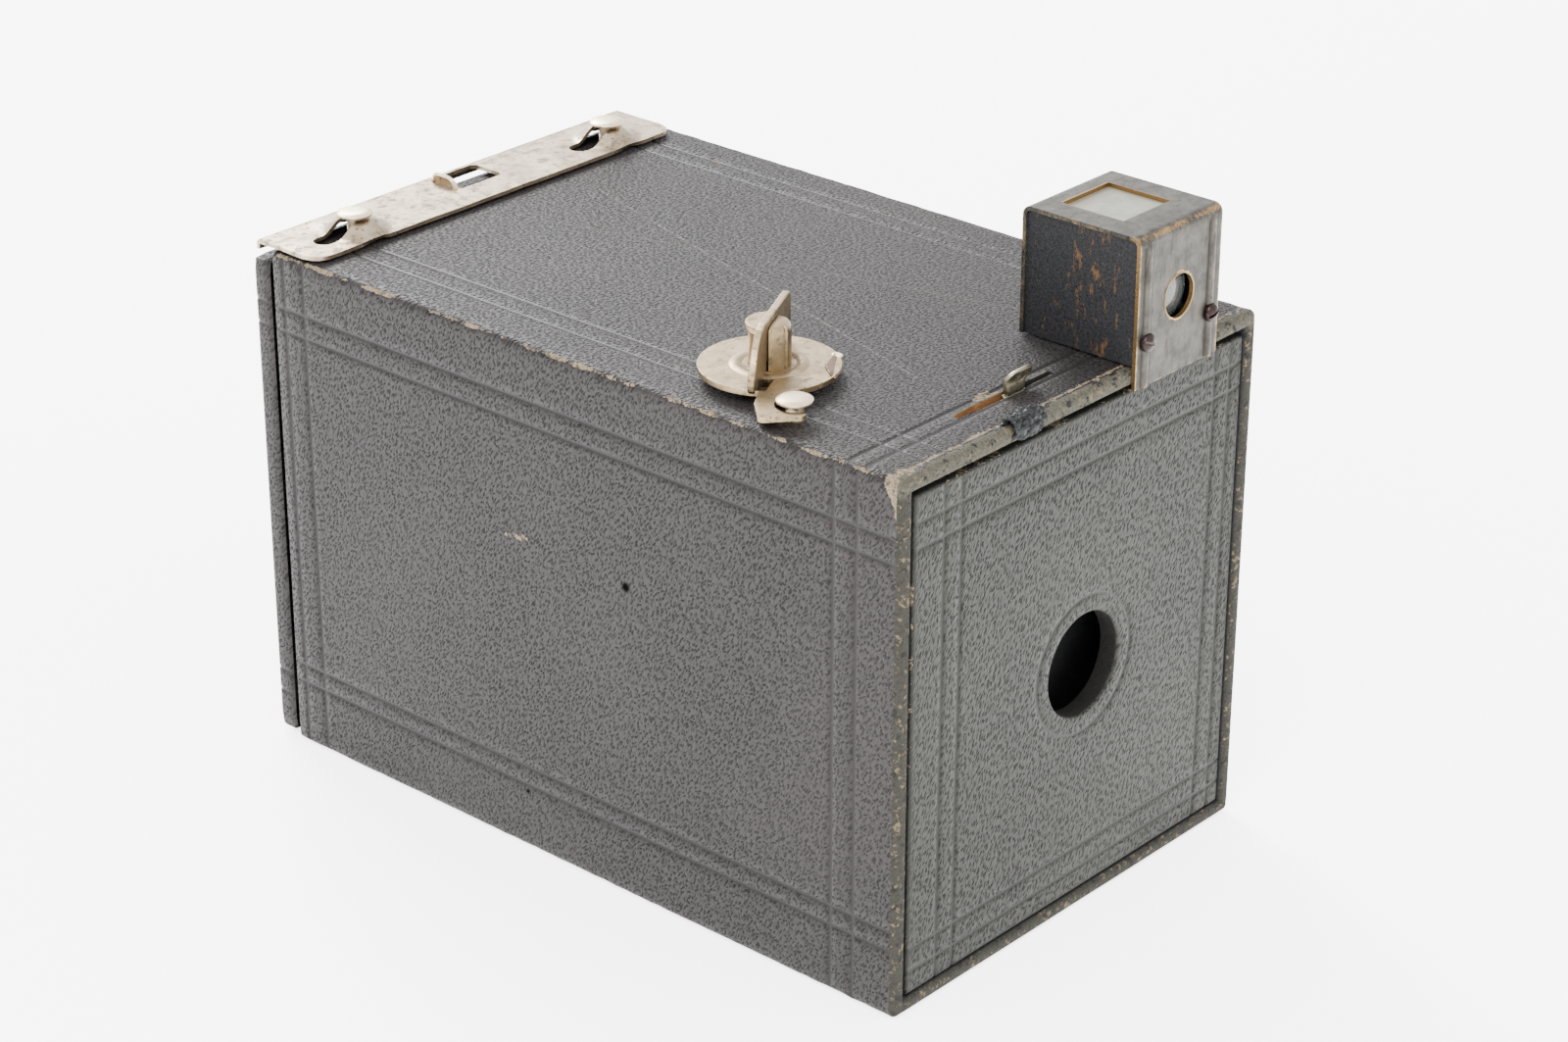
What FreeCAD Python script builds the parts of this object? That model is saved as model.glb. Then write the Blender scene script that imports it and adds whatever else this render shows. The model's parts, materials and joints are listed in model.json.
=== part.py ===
"""Box camera for roll film: a cloth-covered board box with a slide-in film carrier.

Frame: origin at the middle of the underside of the box, +Z up, the lens looks along -Y,
and the winding key stands on the -X side of the top. Sizes are millimetres and degrees.
"""
import FreeCAD
import Part
import math
import os

import Sketcher

V = FreeCAD.Vector
SHEET = "Sizes"

SIZES = {
    # Box: four walls of covered board, open in front and behind.
    "box_width": 76.2,
    "box_height": 79.1,
    "box_length": 117.5,
    "wall": 2.2,
    "edge_round": 0.9,
    # Boards that close the front.
    "board_thick": 3.0,
    "front_recess": 0.5,
    "front_gap_left": 1.0,
    "front_gap_right": 0.25,
    "front_gap_top": 1.0,
    "front_gap_bottom": 0.15,
    "frame_thick": 2.5,
    "frame_rim": 6.0,
    "fit_gap": 0.1,
    # Lens axis and what stands along it.
    "lens_x": 1.8,
    "lens_drop": 0.7,
    "lens_hole": 7.65,
    "shutter_board_depth": 10.75,
    "stop_radius": 3.0,
    "stop_plate_radius": 7.0,
    "sheet_metal": 0.4,
    "cell_wall": 2.0,
    "cell_length": 3.5,
    "lens_radius": 7.0,
    "lens_thick": 2.0,
    "lens_front_curve": 34.0,
    "lens_back_curve": 24.0,
    "lens_lip": 0.8,
    "board_bore": 5.0,
    # Shutter.
    "lever_x": -6.2,
    "lever_over_lens": 11.1,
    "lever_stand_off": 3.0,
    "lever_thick": 0.8,
    "lever_width": 4.0,
    "lever_rise": 3.0,
    "lever_eye": 3.6,
    "lever_slot_left": 12.0,
    "lever_slot_right": 8.0,
    "lever_slot_width": 1.5,
    "rivet_shank": 1.2,
    "rivet_head": 2.4,
    "rivet_head_thick": 0.5,
    "running_gap": 0.05,
    "disc_rim": 1.7,
    "disc_floor_gap": 1.7,
    "disc_thick": 0.5,
    "disc_gap": 0.9,
    "disc_aperture": 3.3,
    "disc_aperture_turn": 27.2,
    "spring_wire": 0.2,
    "spring_coil": 3.1,
    # Winding key.
    "key_stem": 2.9,
    "key_head_rise": 8.0,
    "key_head_lip": 0.4,
    "key_head_thick": 0.9,
    "key_plate_radius": 9.6,
    "key_plate_rise": 1.2,
    "key_plate_thick": 0.8,
    "key_plate_turn": -34.8,
    "key_blade_turn": 61.0,
    "key_blade_thick": 1.0,
    "key_blade_front": 10.2,
    "key_blade_back": 9.0,
    "key_blade_rise": 9.0,
    "key_blade_drop": 5.7,
    "key_neck": 1.6,
    "key_tongue_width": 5.0,
    "key_tongue_thick": 1.2,
    "key_tongue_reach": 3.2,
    "key_over_spool": 0.8,
    "key_washer_lip": 0.6,
    "key_washer_thick": 0.6,
    "eyelet_wall": 0.65,
    "eyelet_lip": 1.0,
    "stud_reach": 14.0,
    "stud_turn": 235.2,
    "stud_shank": 1.25,
    "stud_head": 2.5,
    "stud_head_thick": 0.8,
    "stud_head_rise": 3.1,
    "stud_clinch": 2.0,
    "notch_gap": 0.15,
    # Latch strip across the top of the back joint.
    "strip_left": 37.8,
    "strip_right": 36.0,
    "strip_front": 8.55,
    "strip_back": 3.15,
    "strip_thick": 0.8,
    "strip_gap": 0.3,
    "strip_corner": 3.0,
    "strip_lip": 0.8,
    "strip_dome_radius": 4.8,
    "strip_dome_top": 2.2,
    "strip_dome_rise": 1.9,
    "strip_slot_half": 1.6,
    "strip_travel": 6.0,
    "latch_stud_x": 26.0,
    "latch_stud_back": 4.85,
    "latch_stud_shank": 1.2,
    "latch_stud_head": 2.6,
    "latch_stud_rise": 4.0,
    "window_half": 4.2,
    "window_front": 4.25,
    "window_back": 2.0,
    "grip_rise": 1.5,
    # Film carrier.
    "carrier_gap": 0.7,
    "carrier_floor_gap": 0.1,
    "carrier_head_room": 2.0,
    "carrier_front_gap": 8.2,
    "carrier_back_room": 4.25,
    "carrier_board": 3.0,
    "carrier_front_half": 16.0,
    "carrier_front_thick": 2.0,
    "gate_thick": 2.4,
    "gate_roller_gap": 1.8,
    "gate_deck_gap": 5.3,
    "gate_border": 1.4,
    "gate_back_room": 5.55,
    "cone_spool_gap": 3.8,
    "cone_wall": 1.2,
    "key_notch_gap": 0.5,
    # Spools, rollers and film.
    "spool_gap": 1.3,
    "spool_side_gap": 0.6,
    "spool_front_gap": 1.5,
    "spool_flange": 11.0,
    "spool_flange_thick": 1.0,
    "spool_core": 4.0,
    "spool_pin": 1.5,
    "spool_pin_reach": 4.0,
    "slot_gap": 0.2,
    "film_edge_gap": 0.3,
    "takeup_roll": 5.0,
    "supply_roll": 8.5,
    "roller_side_gap": 1.3,
    "roller_radius": 2.4,
    "roller_end_gap": 1.0,
    "roller_pin": 0.9,
    "roller_pin_reach": 1.5,
    "film_thick": 0.3,
    "film_gap": 0.15,
    "film_roll_gap": 0.6,
    # Back cap.
    "cap_gap": 1.15,
    "cap_thick": 3.6,
    "cap_side_inset": 0.5,
    "cap_top_drop": 2.0,
    "cap_bottom_rise": 0.6,
    "cap_round": 1.1,
    "cap_rim_width": 3.0,
    "cap_rim_reach": 2.5,
    "cap_rim_gap": 0.3,
    "window_radius": 5.5,
    "window_glass": 7.0,
    "window_glass_thick": 0.5,
    # Clip-on reflecting finder.
    "finder_x": 18.2,
    "finder_width": 18.2,
    "finder_depth": 19.0,
    "finder_height": 18.7,
    "finder_metal": 0.6,
    "finder_side_inset": 0.45,
    "finder_wood": 1.5,
    "finder_round": 1.2,
    "finder_lift": 0.3,
    "finder_lap": 2.75,
    "finder_window_half": 5.15,
    "finder_window_back": 8.6,
    "finder_lens_rise": 8.2,
    "finder_lens_hole": 3.15,
    "finder_lens_radius": 3.6,
    "finder_lens_curve": 12.0,
    "finder_lens_inset": 1.1,
    "finder_bead_x": 7.1,
    "finder_bead_half": 0.85,
    "finder_bead_rise": 0.45,
    "finder_screw_rise": 3.7,
    "finder_screw_radius": 1.3,
    "finder_screw_slot": 0.35,
    "finder_glass_thick": 0.8,
    "mirror_length": 19.8,
    "mirror_side_gap": 0.9,
    "mirror_thick": 0.9,
    "clip_half": 6.0,
    "clip_reach": 8.2,
    "clip_thick": 0.45,
}

doc = FreeCAD.newDocument("BoxCamera")
nodes = []


class Size:
    """A length that keeps the sheet expression it is worked out with beside its value."""

    def __init__(self, text, value):
        self.text = text
        self.value = value

    @staticmethod
    def of(other):
        return other if isinstance(other, Size) else Size(repr(float(other)), float(other))

    def __add__(self, other):
        other = Size.of(other)
        return Size(f"({self.text} + {other.text})", self.value + other.value)

    def __sub__(self, other):
        other = Size.of(other)
        return Size(f"({self.text} - {other.text})", self.value - other.value)

    def __mul__(self, other):
        other = Size.of(other)
        return Size(f"({self.text} * {other.text})", self.value * other.value)

    def __truediv__(self, other):
        other = Size.of(other)
        return Size(f"({self.text} / {other.text})", self.value / other.value)

    def __neg__(self):
        return Size(f"(0 - {self.text})", -self.value)


def sine(angle):
    return Size(f"sin({angle.text} * 1deg)", math.sin(math.radians(angle.value)))


def cosine(angle):
    return Size(f"cos({angle.text} * 1deg)", math.cos(math.radians(angle.value)))


def leg(hypotenuse, side):
    """The other short side of a right triangle."""
    value = math.sqrt(hypotenuse.value ** 2 - side.value ** 2)
    return Size(f"sqrt({hypotenuse.text}^2 - {side.text}^2)", value)


ZERO = Size("0", 0.0)


def make_sheet():
    """The driving sizes, one named cell each."""
    sheet = doc.addObject("Spreadsheet::Sheet", SHEET)
    for row, (name, value) in enumerate(SIZES.items(), start=1):
        sheet.set(f"A{row}", name)
        sheet.set(f"B{row}", str(value))
        sheet.setAlias(f"B{row}", name)
    doc.recompute()
    return {name: Size(f"{SHEET}.{name}", float(value)) for name, value in SIZES.items()}


d = make_sheet()


# ---------------------------------------------------------------- building helpers

def bind(thing, prop, size):
    thing.setExpression(prop, Size.of(size).text)


def place(thing, x=ZERO, y=ZERO, z=ZERO, turn=None):
    """Bind the position, and turn by (axis, degrees) about the piece's own origin."""
    if turn:
        thing.Placement = FreeCAD.Placement(V(0, 0, 0), FreeCAD.Rotation(V(*turn[0]), 0))
        bind(thing, "Placement.Rotation.Angle", turn[1])
    for name, size in zip("xyz", (x, y, z)):
        bind(thing, f"Placement.Base.{name}", size)
    return thing


def node(thing, label):
    """Mark a finished sub-part."""
    thing.Label = label
    nodes.append(thing)
    return thing


def block(x, y, z):
    """A box between two planes on each axis."""
    thing = doc.addObject("Part::Box", "Block")
    for prop, (low, high) in zip(("Length", "Width", "Height"), (x, y, z)):
        bind(thing, prop, Size.of(high) - low)
    return place(thing, x[0], y[0], z[0])


def rod_z(x, y, radius, low, high):
    thing = doc.addObject("Part::Cylinder", "Rod")
    bind(thing, "Radius", radius)
    bind(thing, "Height", Size.of(high) - low)
    return place(thing, x, y, low)


def rod_y(x, z, radius, low, high):
    """A cylinder along Y, from y = low to y = high."""
    thing = doc.addObject("Part::Cylinder", "Rod")
    bind(thing, "Radius", radius)
    bind(thing, "Height", Size.of(high) - low)
    thing.Placement = FreeCAD.Placement(V(0, 0, 0), FreeCAD.Rotation(V(1, 0, 0), -90))
    return place(thing, x, low, z)


def ball(x, y, z, radius):
    thing = doc.addObject("Part::Sphere", "Ball")
    bind(thing, "Radius", radius)
    return place(thing, x, y, z)


def cut(base, *tools):
    for tool in tools:
        thing = doc.addObject("Part::Cut", "Cut")
        thing.Base = base
        thing.Tool = tool
        base = thing
    return base


def fuse(*pieces):
    thing = doc.addObject("Part::MultiFuse", "Fuse")
    thing.Shapes = list(pieces)
    return thing


def common(*pieces):
    thing = doc.addObject("Part::MultiCommon", "Common")
    thing.Shapes = list(pieces)
    return thing


def origin_plane(body, role):
    return next(item for item in body.Origin.OriginFeatures if item.Role == role)


def sketch_on(body, role, offset=ZERO):
    """A sketch on one of the body's own planes, moved along that plane's normal."""
    sketch = body.newObject("Sketcher::SketchObject", "Sketch")
    sketch.AttachmentSupport = (origin_plane(body, role), "")
    sketch.MapMode = "FlatFace"
    bind(sketch, "AttachmentOffset.Base.z", offset)
    return sketch


def fix_point(sketch, geometry, point, across, up):
    for kind, size in (("DistanceX", Size.of(across)), ("DistanceY", Size.of(up))):
        index = sketch.addConstraint(Sketcher.Constraint(kind, -1, 1, geometry, point, size.value))
        sketch.setExpression(f"Constraints[{index}]", size.text)


def draw_outline(sketch, points):
    """A closed run of straight lines through the points, each bound to its sizes."""
    spots = [V(Size.of(across).value, Size.of(up).value, 0) for across, up in points]
    first = sketch.GeometryCount
    count = len(points)
    for index in range(count):
        sketch.addGeometry(Part.LineSegment(spots[index], spots[(index + 1) % count]))
    for index in range(count):
        following = first + (index + 1) % count
        sketch.addConstraint(Sketcher.Constraint("Coincident", first + index, 2, following, 1))
    for index, (across, up) in enumerate(points):
        fix_point(sketch, first + index, 1, across, up)


def draw_circle(sketch, across, up, radius):
    centre = V(Size.of(across).value, Size.of(up).value, 0)
    index = sketch.addGeometry(Part.Circle(centre, V(0, 0, 1), Size.of(radius).value))
    fix_point(sketch, index, 3, across, up)
    size = Size.of(radius)
    ring = sketch.addConstraint(Sketcher.Constraint("Radius", index, size.value))
    sketch.setExpression(f"Constraints[{ring}]", size.text)


def rectangle(across, up):
    return [(across[0], up[0]), (across[1], up[0]), (across[1], up[1]), (across[0], up[1])]


def padded(role, start, length, outlines=(), circles=()):
    """A PartDesign body: one sketch of outlines and circles, padded along the plane's normal."""
    body = doc.addObject("PartDesign::Body", "Body")
    sketch = sketch_on(body, role, start)
    for points in outlines:
        draw_outline(sketch, points)
    for circle in circles:
        draw_circle(sketch, *circle)
    pad = body.newObject("PartDesign::Pad", "Pad")
    pad.Profile = sketch
    bind(pad, "Length", length)
    doc.recompute()
    return body


def plate_z(low, high, outlines=(), circles=()):
    """A flat piece lying level, from z = low to z = high."""
    return padded("XY_Plane", low, Size.of(high) - low, outlines, circles)


def plate_y(low, high, outlines=(), circles=()):
    """A flat piece facing the lens side, from y = low to y = high, drawn in x and z."""
    return padded("XZ_Plane", -Size.of(high), Size.of(high) - low, outlines, circles)


def turned(role, points):
    """A PartDesign body: an outline of (radius, height) revolved about the sketch's upright."""
    body = doc.addObject("PartDesign::Body", "Body")
    sketch = sketch_on(body, role)
    draw_outline(sketch, points)
    spin = body.newObject("PartDesign::Revolution", "Revolution")
    spin.Profile = sketch
    spin.ReferenceAxis = (sketch, ["V_Axis"])
    spin.Angle = 360.0
    doc.recompute()
    return body


def round_edges(body, radius, wanted):
    """A PartDesign fillet on the body's edges that the test picks."""
    doc.recompute()
    base = body.Tip
    edges = enumerate(base.Shape.Edges, start=1)
    names = [f"Edge{number}" for number, edge in edges if wanted(edge)]
    fillet = body.newObject("PartDesign::Fillet", "Fillet")
    fillet.Base = (base, names)
    bind(fillet, "Radius", radius)
    doc.recompute()
    return body


def runs_along(edge, axis):
    """Whether a straight edge is parallel to an axis (0, 1 or 2)."""
    if len(edge.Vertexes) != 2 or edge.Curve.TypeId != "Part::GeomLine":
        return False
    span = edge.Vertexes[1].Point - edge.Vertexes[0].Point
    return abs(span[axis]) > 0.999 * span.Length


def middle(edge):
    return edge.CenterOfMass


# ---------------------------------------------------------------- shared places

half_width = d["box_width"] / 2
top = d["box_height"]
roof = top - d["wall"]
floor = d["wall"]
half_inside = half_width - d["wall"]
front = -d["box_length"] / 2
back = d["box_length"] / 2

board_front = front + d["front_recess"]
board_back = board_front + d["board_thick"]
frame_back = board_back + d["frame_thick"]
shutter_front = front + d["shutter_board_depth"]
shutter_back = shutter_front + d["board_thick"]

carrier_low = floor + d["carrier_floor_gap"]
carrier_high = roof - d["carrier_head_room"]
carrier_mid = (carrier_low + carrier_high) / 2
carrier_half = half_inside - d["carrier_gap"]
carrier_front = shutter_back + d["carrier_front_gap"]
carrier_back = back - d["carrier_back_room"]
deck_low = carrier_low + d["carrier_board"]
deck_high = carrier_high - d["carrier_board"]
spool_low = deck_low + d["spool_gap"]
spool_high = deck_high - d["spool_gap"]

gate_back = back - d["gate_back_room"]
gate_front = gate_back - d["gate_thick"]
roller_x = half_inside - d["roller_side_gap"] - d["roller_radius"]
roller_y = gate_back - d["roller_radius"]
gate_half = roller_x - d["roller_radius"] - d["gate_roller_gap"]
gate_half_high = (deck_high - deck_low) / 2 - d["gate_deck_gap"]

lens_x = d["lens_x"]
lens_z = carrier_mid - d["lens_drop"]
disc_arm = (lens_z - floor - d["disc_floor_gap"] - d["disc_aperture"] - d["disc_rim"]) / 2
disc_radius = disc_arm + d["disc_aperture"] + d["disc_rim"]
disc_z = lens_z - disc_arm
disc_back = shutter_front - d["disc_gap"]
disc_front = disc_back - d["disc_thick"]
lever_x = d["lever_x"]
lever_y = shutter_front - d["lever_stand_off"]
lever_z = lens_z + d["lever_over_lens"]
lever_front = lever_y - d["lever_thick"] / 2
lever_back = lever_y + d["lever_thick"] / 2

key_x = -(half_inside - d["spool_side_gap"] - d["spool_flange"])
key_y = carrier_front + d["spool_front_gap"] + d["spool_flange"]
key_head = d["key_stem"] + d["key_head_lip"]
washer_radius = d["key_stem"] + d["key_washer_lip"]
cone_front_half = -key_x - d["spool_flange"] - d["cone_spool_gap"]
tongue_low = spool_high - d["key_tongue_reach"]
tongue_high = spool_high + d["key_over_spool"] + d["fit_gap"] * 2
neck_high = tongue_high + d["key_washer_thick"] + d["fit_gap"]
plate_low = top + d["key_plate_rise"]
plate_high = plate_low + d["key_plate_thick"]
stud_x = key_x + d["stud_reach"] * cosine(d["stud_turn"])
stud_y = key_y + d["stud_reach"] * sine(d["stud_turn"])
eyelet_out = d["key_stem"] + d["running_gap"] + d["eyelet_wall"]

stud_row = back - d["latch_stud_back"]
strip_low = top + d["strip_gap"]
strip_high = strip_low + d["strip_thick"]

finder_front = front - d["fit_gap"] / 2 - d["finder_metal"]
finder_back = finder_front + d["finder_depth"] + d["finder_metal"]
finder_low = top + d["finder_lift"]
finder_high = top + d["finder_height"]
finder_x = d["finder_x"]
finder_half = d["finder_width"] / 2


# ---------------------------------------------------------------- box and front

def box_shell():
    outer = rectangle((-half_width, half_width), (ZERO, top))
    inner = rectangle((-half_inside, half_inside), (floor, roof))
    body = plate_y(front, back, outlines=(outer, inner))
    round_edges(body, d["edge_round"],
                lambda edge: runs_along(edge, 1) and abs(middle(edge).x) > half_inside.value + 0.1)
    sketch = sketch_on(body, "XY_Plane", top)
    slot_half = d["lever_slot_width"] / 2
    slot = rectangle((lever_x - d["lever_slot_left"], lever_x + d["lever_slot_right"]),
                     (lever_y - slot_half, lever_y + slot_half))
    draw_outline(sketch, slot)
    draw_circle(sketch, key_x, key_y, eyelet_out + d["fit_gap"])
    draw_circle(sketch, stud_x, stud_y, d["stud_shank"])
    for side in (-1, 1):
        draw_circle(sketch, d["latch_stud_x"] * side, stud_row, d["latch_stud_shank"])
    holes = body.newObject("PartDesign::Pocket", "TopHoles")
    holes.Profile = sketch
    bind(holes, "Length", d["wall"])
    return node(body, "box_shell")


def front_board():
    edge = rectangle((-half_inside + d["front_gap_left"], half_inside - d["front_gap_right"]),
                     (floor + d["front_gap_bottom"], roof - d["front_gap_top"]))
    body = plate_y(board_front, board_back, outlines=(edge,),
                   circles=((lens_x, lens_z, d["lens_hole"]),))
    return node(body, "front_board")


def front_frame():
    """The ring of board behind the front board, which holds it square in the box."""
    side = half_inside - d["fit_gap"]
    low = floor + d["fit_gap"]
    high = roof - d["front_gap_top"]
    rim = d["frame_rim"]
    outer = rectangle((-side, side), (low, high))
    inner = rectangle((-side + rim, side - rim), (low + rim, high - rim))
    return node(plate_y(board_back, frame_back, outlines=(outer, inner)), "front_frame")


def cleats():
    """Upright strips between the front ring and the shutter board, against the side walls."""
    outer = half_inside - d["fit_gap"]
    inner = outer - d["frame_rim"] * 0.7
    ends = (floor + d["frame_rim"], roof - d["frame_rim"])
    depth = (frame_back, shutter_front)
    node(block((-outer, -inner), depth, ends), "cleat_left")
    node(block((inner, outer), depth, ends), "cleat_right")


def shutter_board():
    side = half_inside - d["fit_gap"]
    edge = rectangle((-side, side), (floor + d["fit_gap"], roof - d["fit_gap"]))
    body = plate_y(shutter_front, shutter_back, outlines=(edge,),
                   circles=((lens_x, lens_z, d["board_bore"]),))
    return node(body, "shutter_board")


def stop_plate():
    body = plate_y(shutter_front - d["sheet_metal"], shutter_front,
                   circles=((lens_x, lens_z, d["stop_plate_radius"]),
                            (lens_x, lens_z, d["stop_radius"])))
    return node(body, "stop_plate")


def lens_cell():
    bore = d["lens_radius"] + d["running_gap"]
    outer = d["lens_radius"] + d["cell_wall"]
    shoulder = d["lens_radius"] - d["lens_lip"]
    seat = d["cell_length"] - d["lens_thick"] - d["sheet_metal"]
    body = turned("XY_Plane", [
        (shoulder, ZERO), (outer, ZERO), (outer, d["cell_length"]),
        (bore, d["cell_length"]), (bore, seat), (shoulder, seat)])
    return node(place(body, lens_x, shutter_back, lens_z), "lens_cell")


def lens_glass():
    """A meniscus with its hollow side towards the shutter."""
    seat = shutter_back + d["cell_length"] - d["lens_thick"] - d["sheet_metal"]
    rear = seat + d["lens_thick"]
    rim = rod_y(lens_x, lens_z, d["lens_radius"], seat, rear)
    bulge = ball(lens_x, rear - d["lens_back_curve"], lens_z, d["lens_back_curve"])
    hollow_centre = seat - leg(d["lens_front_curve"], d["lens_radius"])
    hollow = ball(lens_x, hollow_centre, lens_z, d["lens_front_curve"])
    return node(cut(common(rim, bulge), hollow), "lens_glass")


def lens_ring():
    rear = shutter_back + d["cell_length"]
    body = plate_y(rear - d["sheet_metal"], rear,
                   circles=((lens_x, lens_z, d["lens_radius"]),
                            (lens_x, lens_z, d["lens_radius"] - d["lens_lip"])))
    return node(body, "lens_ring")


# ---------------------------------------------------------------- shutter

def shutter_disc():
    turn = d["disc_aperture_turn"]
    aperture_x = lens_x - disc_arm * sine(turn)
    aperture_z = disc_z + disc_arm * cosine(turn)
    body = plate_y(disc_front, disc_back, circles=(
        (lens_x, disc_z, disc_radius),
        (lens_x, disc_z, d["rivet_shank"] + d["running_gap"]),
        (aperture_x, aperture_z, d["disc_aperture"])))
    return node(body, "shutter_disc")


def shutter_disc_rivet():
    head_back = disc_front - d["fit_gap"]
    shank = rod_y(lens_x, disc_z, d["rivet_shank"], head_back, shutter_front)
    head = rod_y(lens_x, disc_z, d["rivet_head"], head_back - d["rivet_head_thick"], head_back)
    collar = rod_y(lens_x, disc_z, d["rivet_head"], disc_back + d["fit_gap"], shutter_front)
    return node(fuse(shank, head, collar), "shutter_disc_rivet")


def shutter_lever():
    """Flat lever: an eye on the rivet, an arm through the roof slot and a rounded tab."""
    half = d["lever_width"] / 2
    tip = top + d["lever_rise"]
    arm = plate_y(lever_front, lever_back, outlines=([
        (lever_x - half, lever_z), (lever_x + half, lever_z),
        (lever_x + half, tip - half), (lever_x - half, tip - half)],))
    crown = rod_y(lever_x, tip - half, half, lever_front, lever_back)
    eye = rod_y(lever_x, lever_z, d["lever_eye"], lever_front, lever_back)
    bore = rod_y(lever_x, lever_z, d["rivet_shank"] + d["running_gap"], lever_front, lever_back)
    return node(cut(fuse(arm, crown, eye), bore), "shutter_lever")


def shutter_lever_rivet():
    head_back = lever_front - d["fit_gap"]
    shank = rod_y(lever_x, lever_z, d["rivet_shank"], head_back, shutter_front)
    head = rod_y(lever_x, lever_z, d["rivet_head"], head_back - d["rivet_head_thick"], head_back)
    return node(fuse(shank, head), "shutter_lever_rivet")


def shutter_lever_spacer():
    body = plate_y(lever_back + d["fit_gap"], shutter_front, circles=(
        (lever_x, lever_z, d["rivet_head"]), (lever_x, lever_z, d["rivet_shank"])))
    return node(body, "shutter_lever_spacer")


def shutter_spring():
    """Hairpin spring: one turn round the spacer, a leg up the lever and a leg to the disc."""
    wire = d["spring_wire"]
    wire_y = lever_back + wire
    coil = doc.addObject("Part::Torus", "Coil")
    bind(coil, "Radius1", d["spring_coil"])
    bind(coil, "Radius2", wire)
    coil.Placement = FreeCAD.Placement(V(0, 0, 0), FreeCAD.Rotation(V(1, 0, 0), 90))
    place(coil, lever_x, wire_y, lever_z)
    upper = rod_z(lever_x - d["spring_coil"] / 2, wire_y, wire,
                  lever_z + d["spring_coil"] * 0.8, lever_z + d["spring_coil"] * 3)
    lower = rod_z(lever_x + d["spring_coil"] / 2, wire_y, wire,
                  lever_z - d["spring_coil"] * 3, lever_z - d["spring_coil"] * 0.8)
    return node(fuse(coil, upper, lower), "shutter_spring")


# ---------------------------------------------------------------- winding key

def key_eyelet():
    bore = d["key_stem"] + d["running_gap"]
    flange = eyelet_out + d["eyelet_lip"]
    lip = d["sheet_metal"]
    body = turned("XZ_Plane", [
        (bore, roof - lip), (flange, roof - lip), (flange, roof), (eyelet_out, roof),
        (eyelet_out, top), (flange, top), (flange, top + lip), (bore, top + lip)])
    return node(place(body, key_x, key_y), "key_eyelet")


def key_stud():
    """Headed stud that the notched tab of the key plate closes round."""
    head_high = top + d["stud_head_rise"]
    head = rod_z(stud_x, stud_y, d["stud_head"], head_high - d["stud_head_thick"], head_high)
    shank = rod_z(stud_x, stud_y, d["stud_shank"], roof - d["stud_head_thick"],
                  head_high - d["stud_head_thick"])
    clinch = rod_z(stud_x, stud_y, d["stud_clinch"], roof - d["stud_head_thick"], roof)
    return node(fuse(head, shank, clinch), "key_stud")


def key_stem():
    """Rolled stem split for the blade, with a neck for the washer and a flat driving tongue."""
    head_high = top + d["key_head_rise"]
    slot_low = head_high - d["key_blade_drop"]
    stem = rod_z(key_x, key_y, d["key_stem"], neck_high, head_high)
    head = rod_z(key_x, key_y, key_head, head_high - d["key_head_thick"], head_high)
    neck = rod_z(key_x, key_y, d["key_neck"], tongue_high, neck_high)
    tongue_half = d["key_tongue_thick"] / 2
    reach = d["key_tongue_width"] / 2
    tongue = block((key_x - tongue_half, key_x + tongue_half), (key_y - reach, key_y + reach),
                   (tongue_low, tongue_high))
    slot = padded("XY_Plane", slot_low, d["key_blade_drop"], outlines=(rectangle(
        (-key_head * 2, key_head * 2),
        (-d["key_blade_thick"] / 2, d["key_blade_thick"] / 2)),))
    place(slot, key_x, key_y, turn=((0, 0, 1), d["key_plate_turn"] + d["key_blade_turn"]))
    return node(fuse(cut(fuse(stem, head), slot), neck, tongue), "key_stem")


def key_plate():
    """One stamping: a disc, the notched locking tab and the upright blade bent from its edge."""
    reach = d["stud_reach"]
    grip = d["stud_head"] + d["notch_gap"]
    disc = plate_z(plate_low, plate_high,
                   circles=((ZERO, ZERO, d["key_plate_radius"]),
                            (ZERO, ZERO, d["key_stem"] + d["running_gap"])))
    tab = plate_z(plate_low, plate_high, outlines=([
        (-d["key_plate_radius"] * 0.37, -d["key_plate_radius"] * 0.63),
        (-grip * 2.1, -reach - grip * 0.95),
        (grip * 0.15, -reach - grip * 1.5),
        (grip * 0.35, -d["key_plate_radius"] * 0.9)],))
    notch = rod_z(ZERO, -reach, grip, plate_low, plate_high)
    mouth = block((ZERO, grip * 2), (-reach - grip, -reach + grip), (plate_low, plate_high))
    flat = cut(fuse(disc, tab), notch, mouth)
    place(flat, key_x, key_y, turn=((0, 0, 1), d["key_plate_turn"]))
    rise = top + d["key_blade_rise"]
    inner = d["key_stem"] + d["fit_gap"] * 3
    heel = plate_high + d["key_plate_thick"]
    profile = [
        (-d["key_plate_radius"] + d["fit_gap"] * 4, plate_low), (-inner, plate_low),
        (-inner, rise - d["key_blade_drop"]), (d["key_blade_back"], rise - d["key_blade_drop"]),
        (d["key_blade_back"], rise), (-d["key_blade_front"] * 0.62, rise),
        (-d["key_blade_front"], rise - d["key_blade_drop"] * 0.72),
        (-d["key_blade_front"], heel)]
    half = d["key_blade_thick"] / 2
    blade = plate_y(-half, half, outlines=(profile,))
    place(blade, key_x, key_y, turn=((0, 0, 1), d["key_plate_turn"] + d["key_blade_turn"]))
    return node(fuse(flat, blade), "key_plate")


def key_washer():
    """Loose washer on the key's neck: it stops against the eyelet when the key is pulled up."""
    body = plate_z(tongue_high, tongue_high + d["key_washer_thick"], circles=(
        (key_x, key_y, washer_radius),
        (key_x, key_y, d["key_neck"] + d["running_gap"])))
    return node(body, "key_washer")


# ---------------------------------------------------------------- latch

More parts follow.
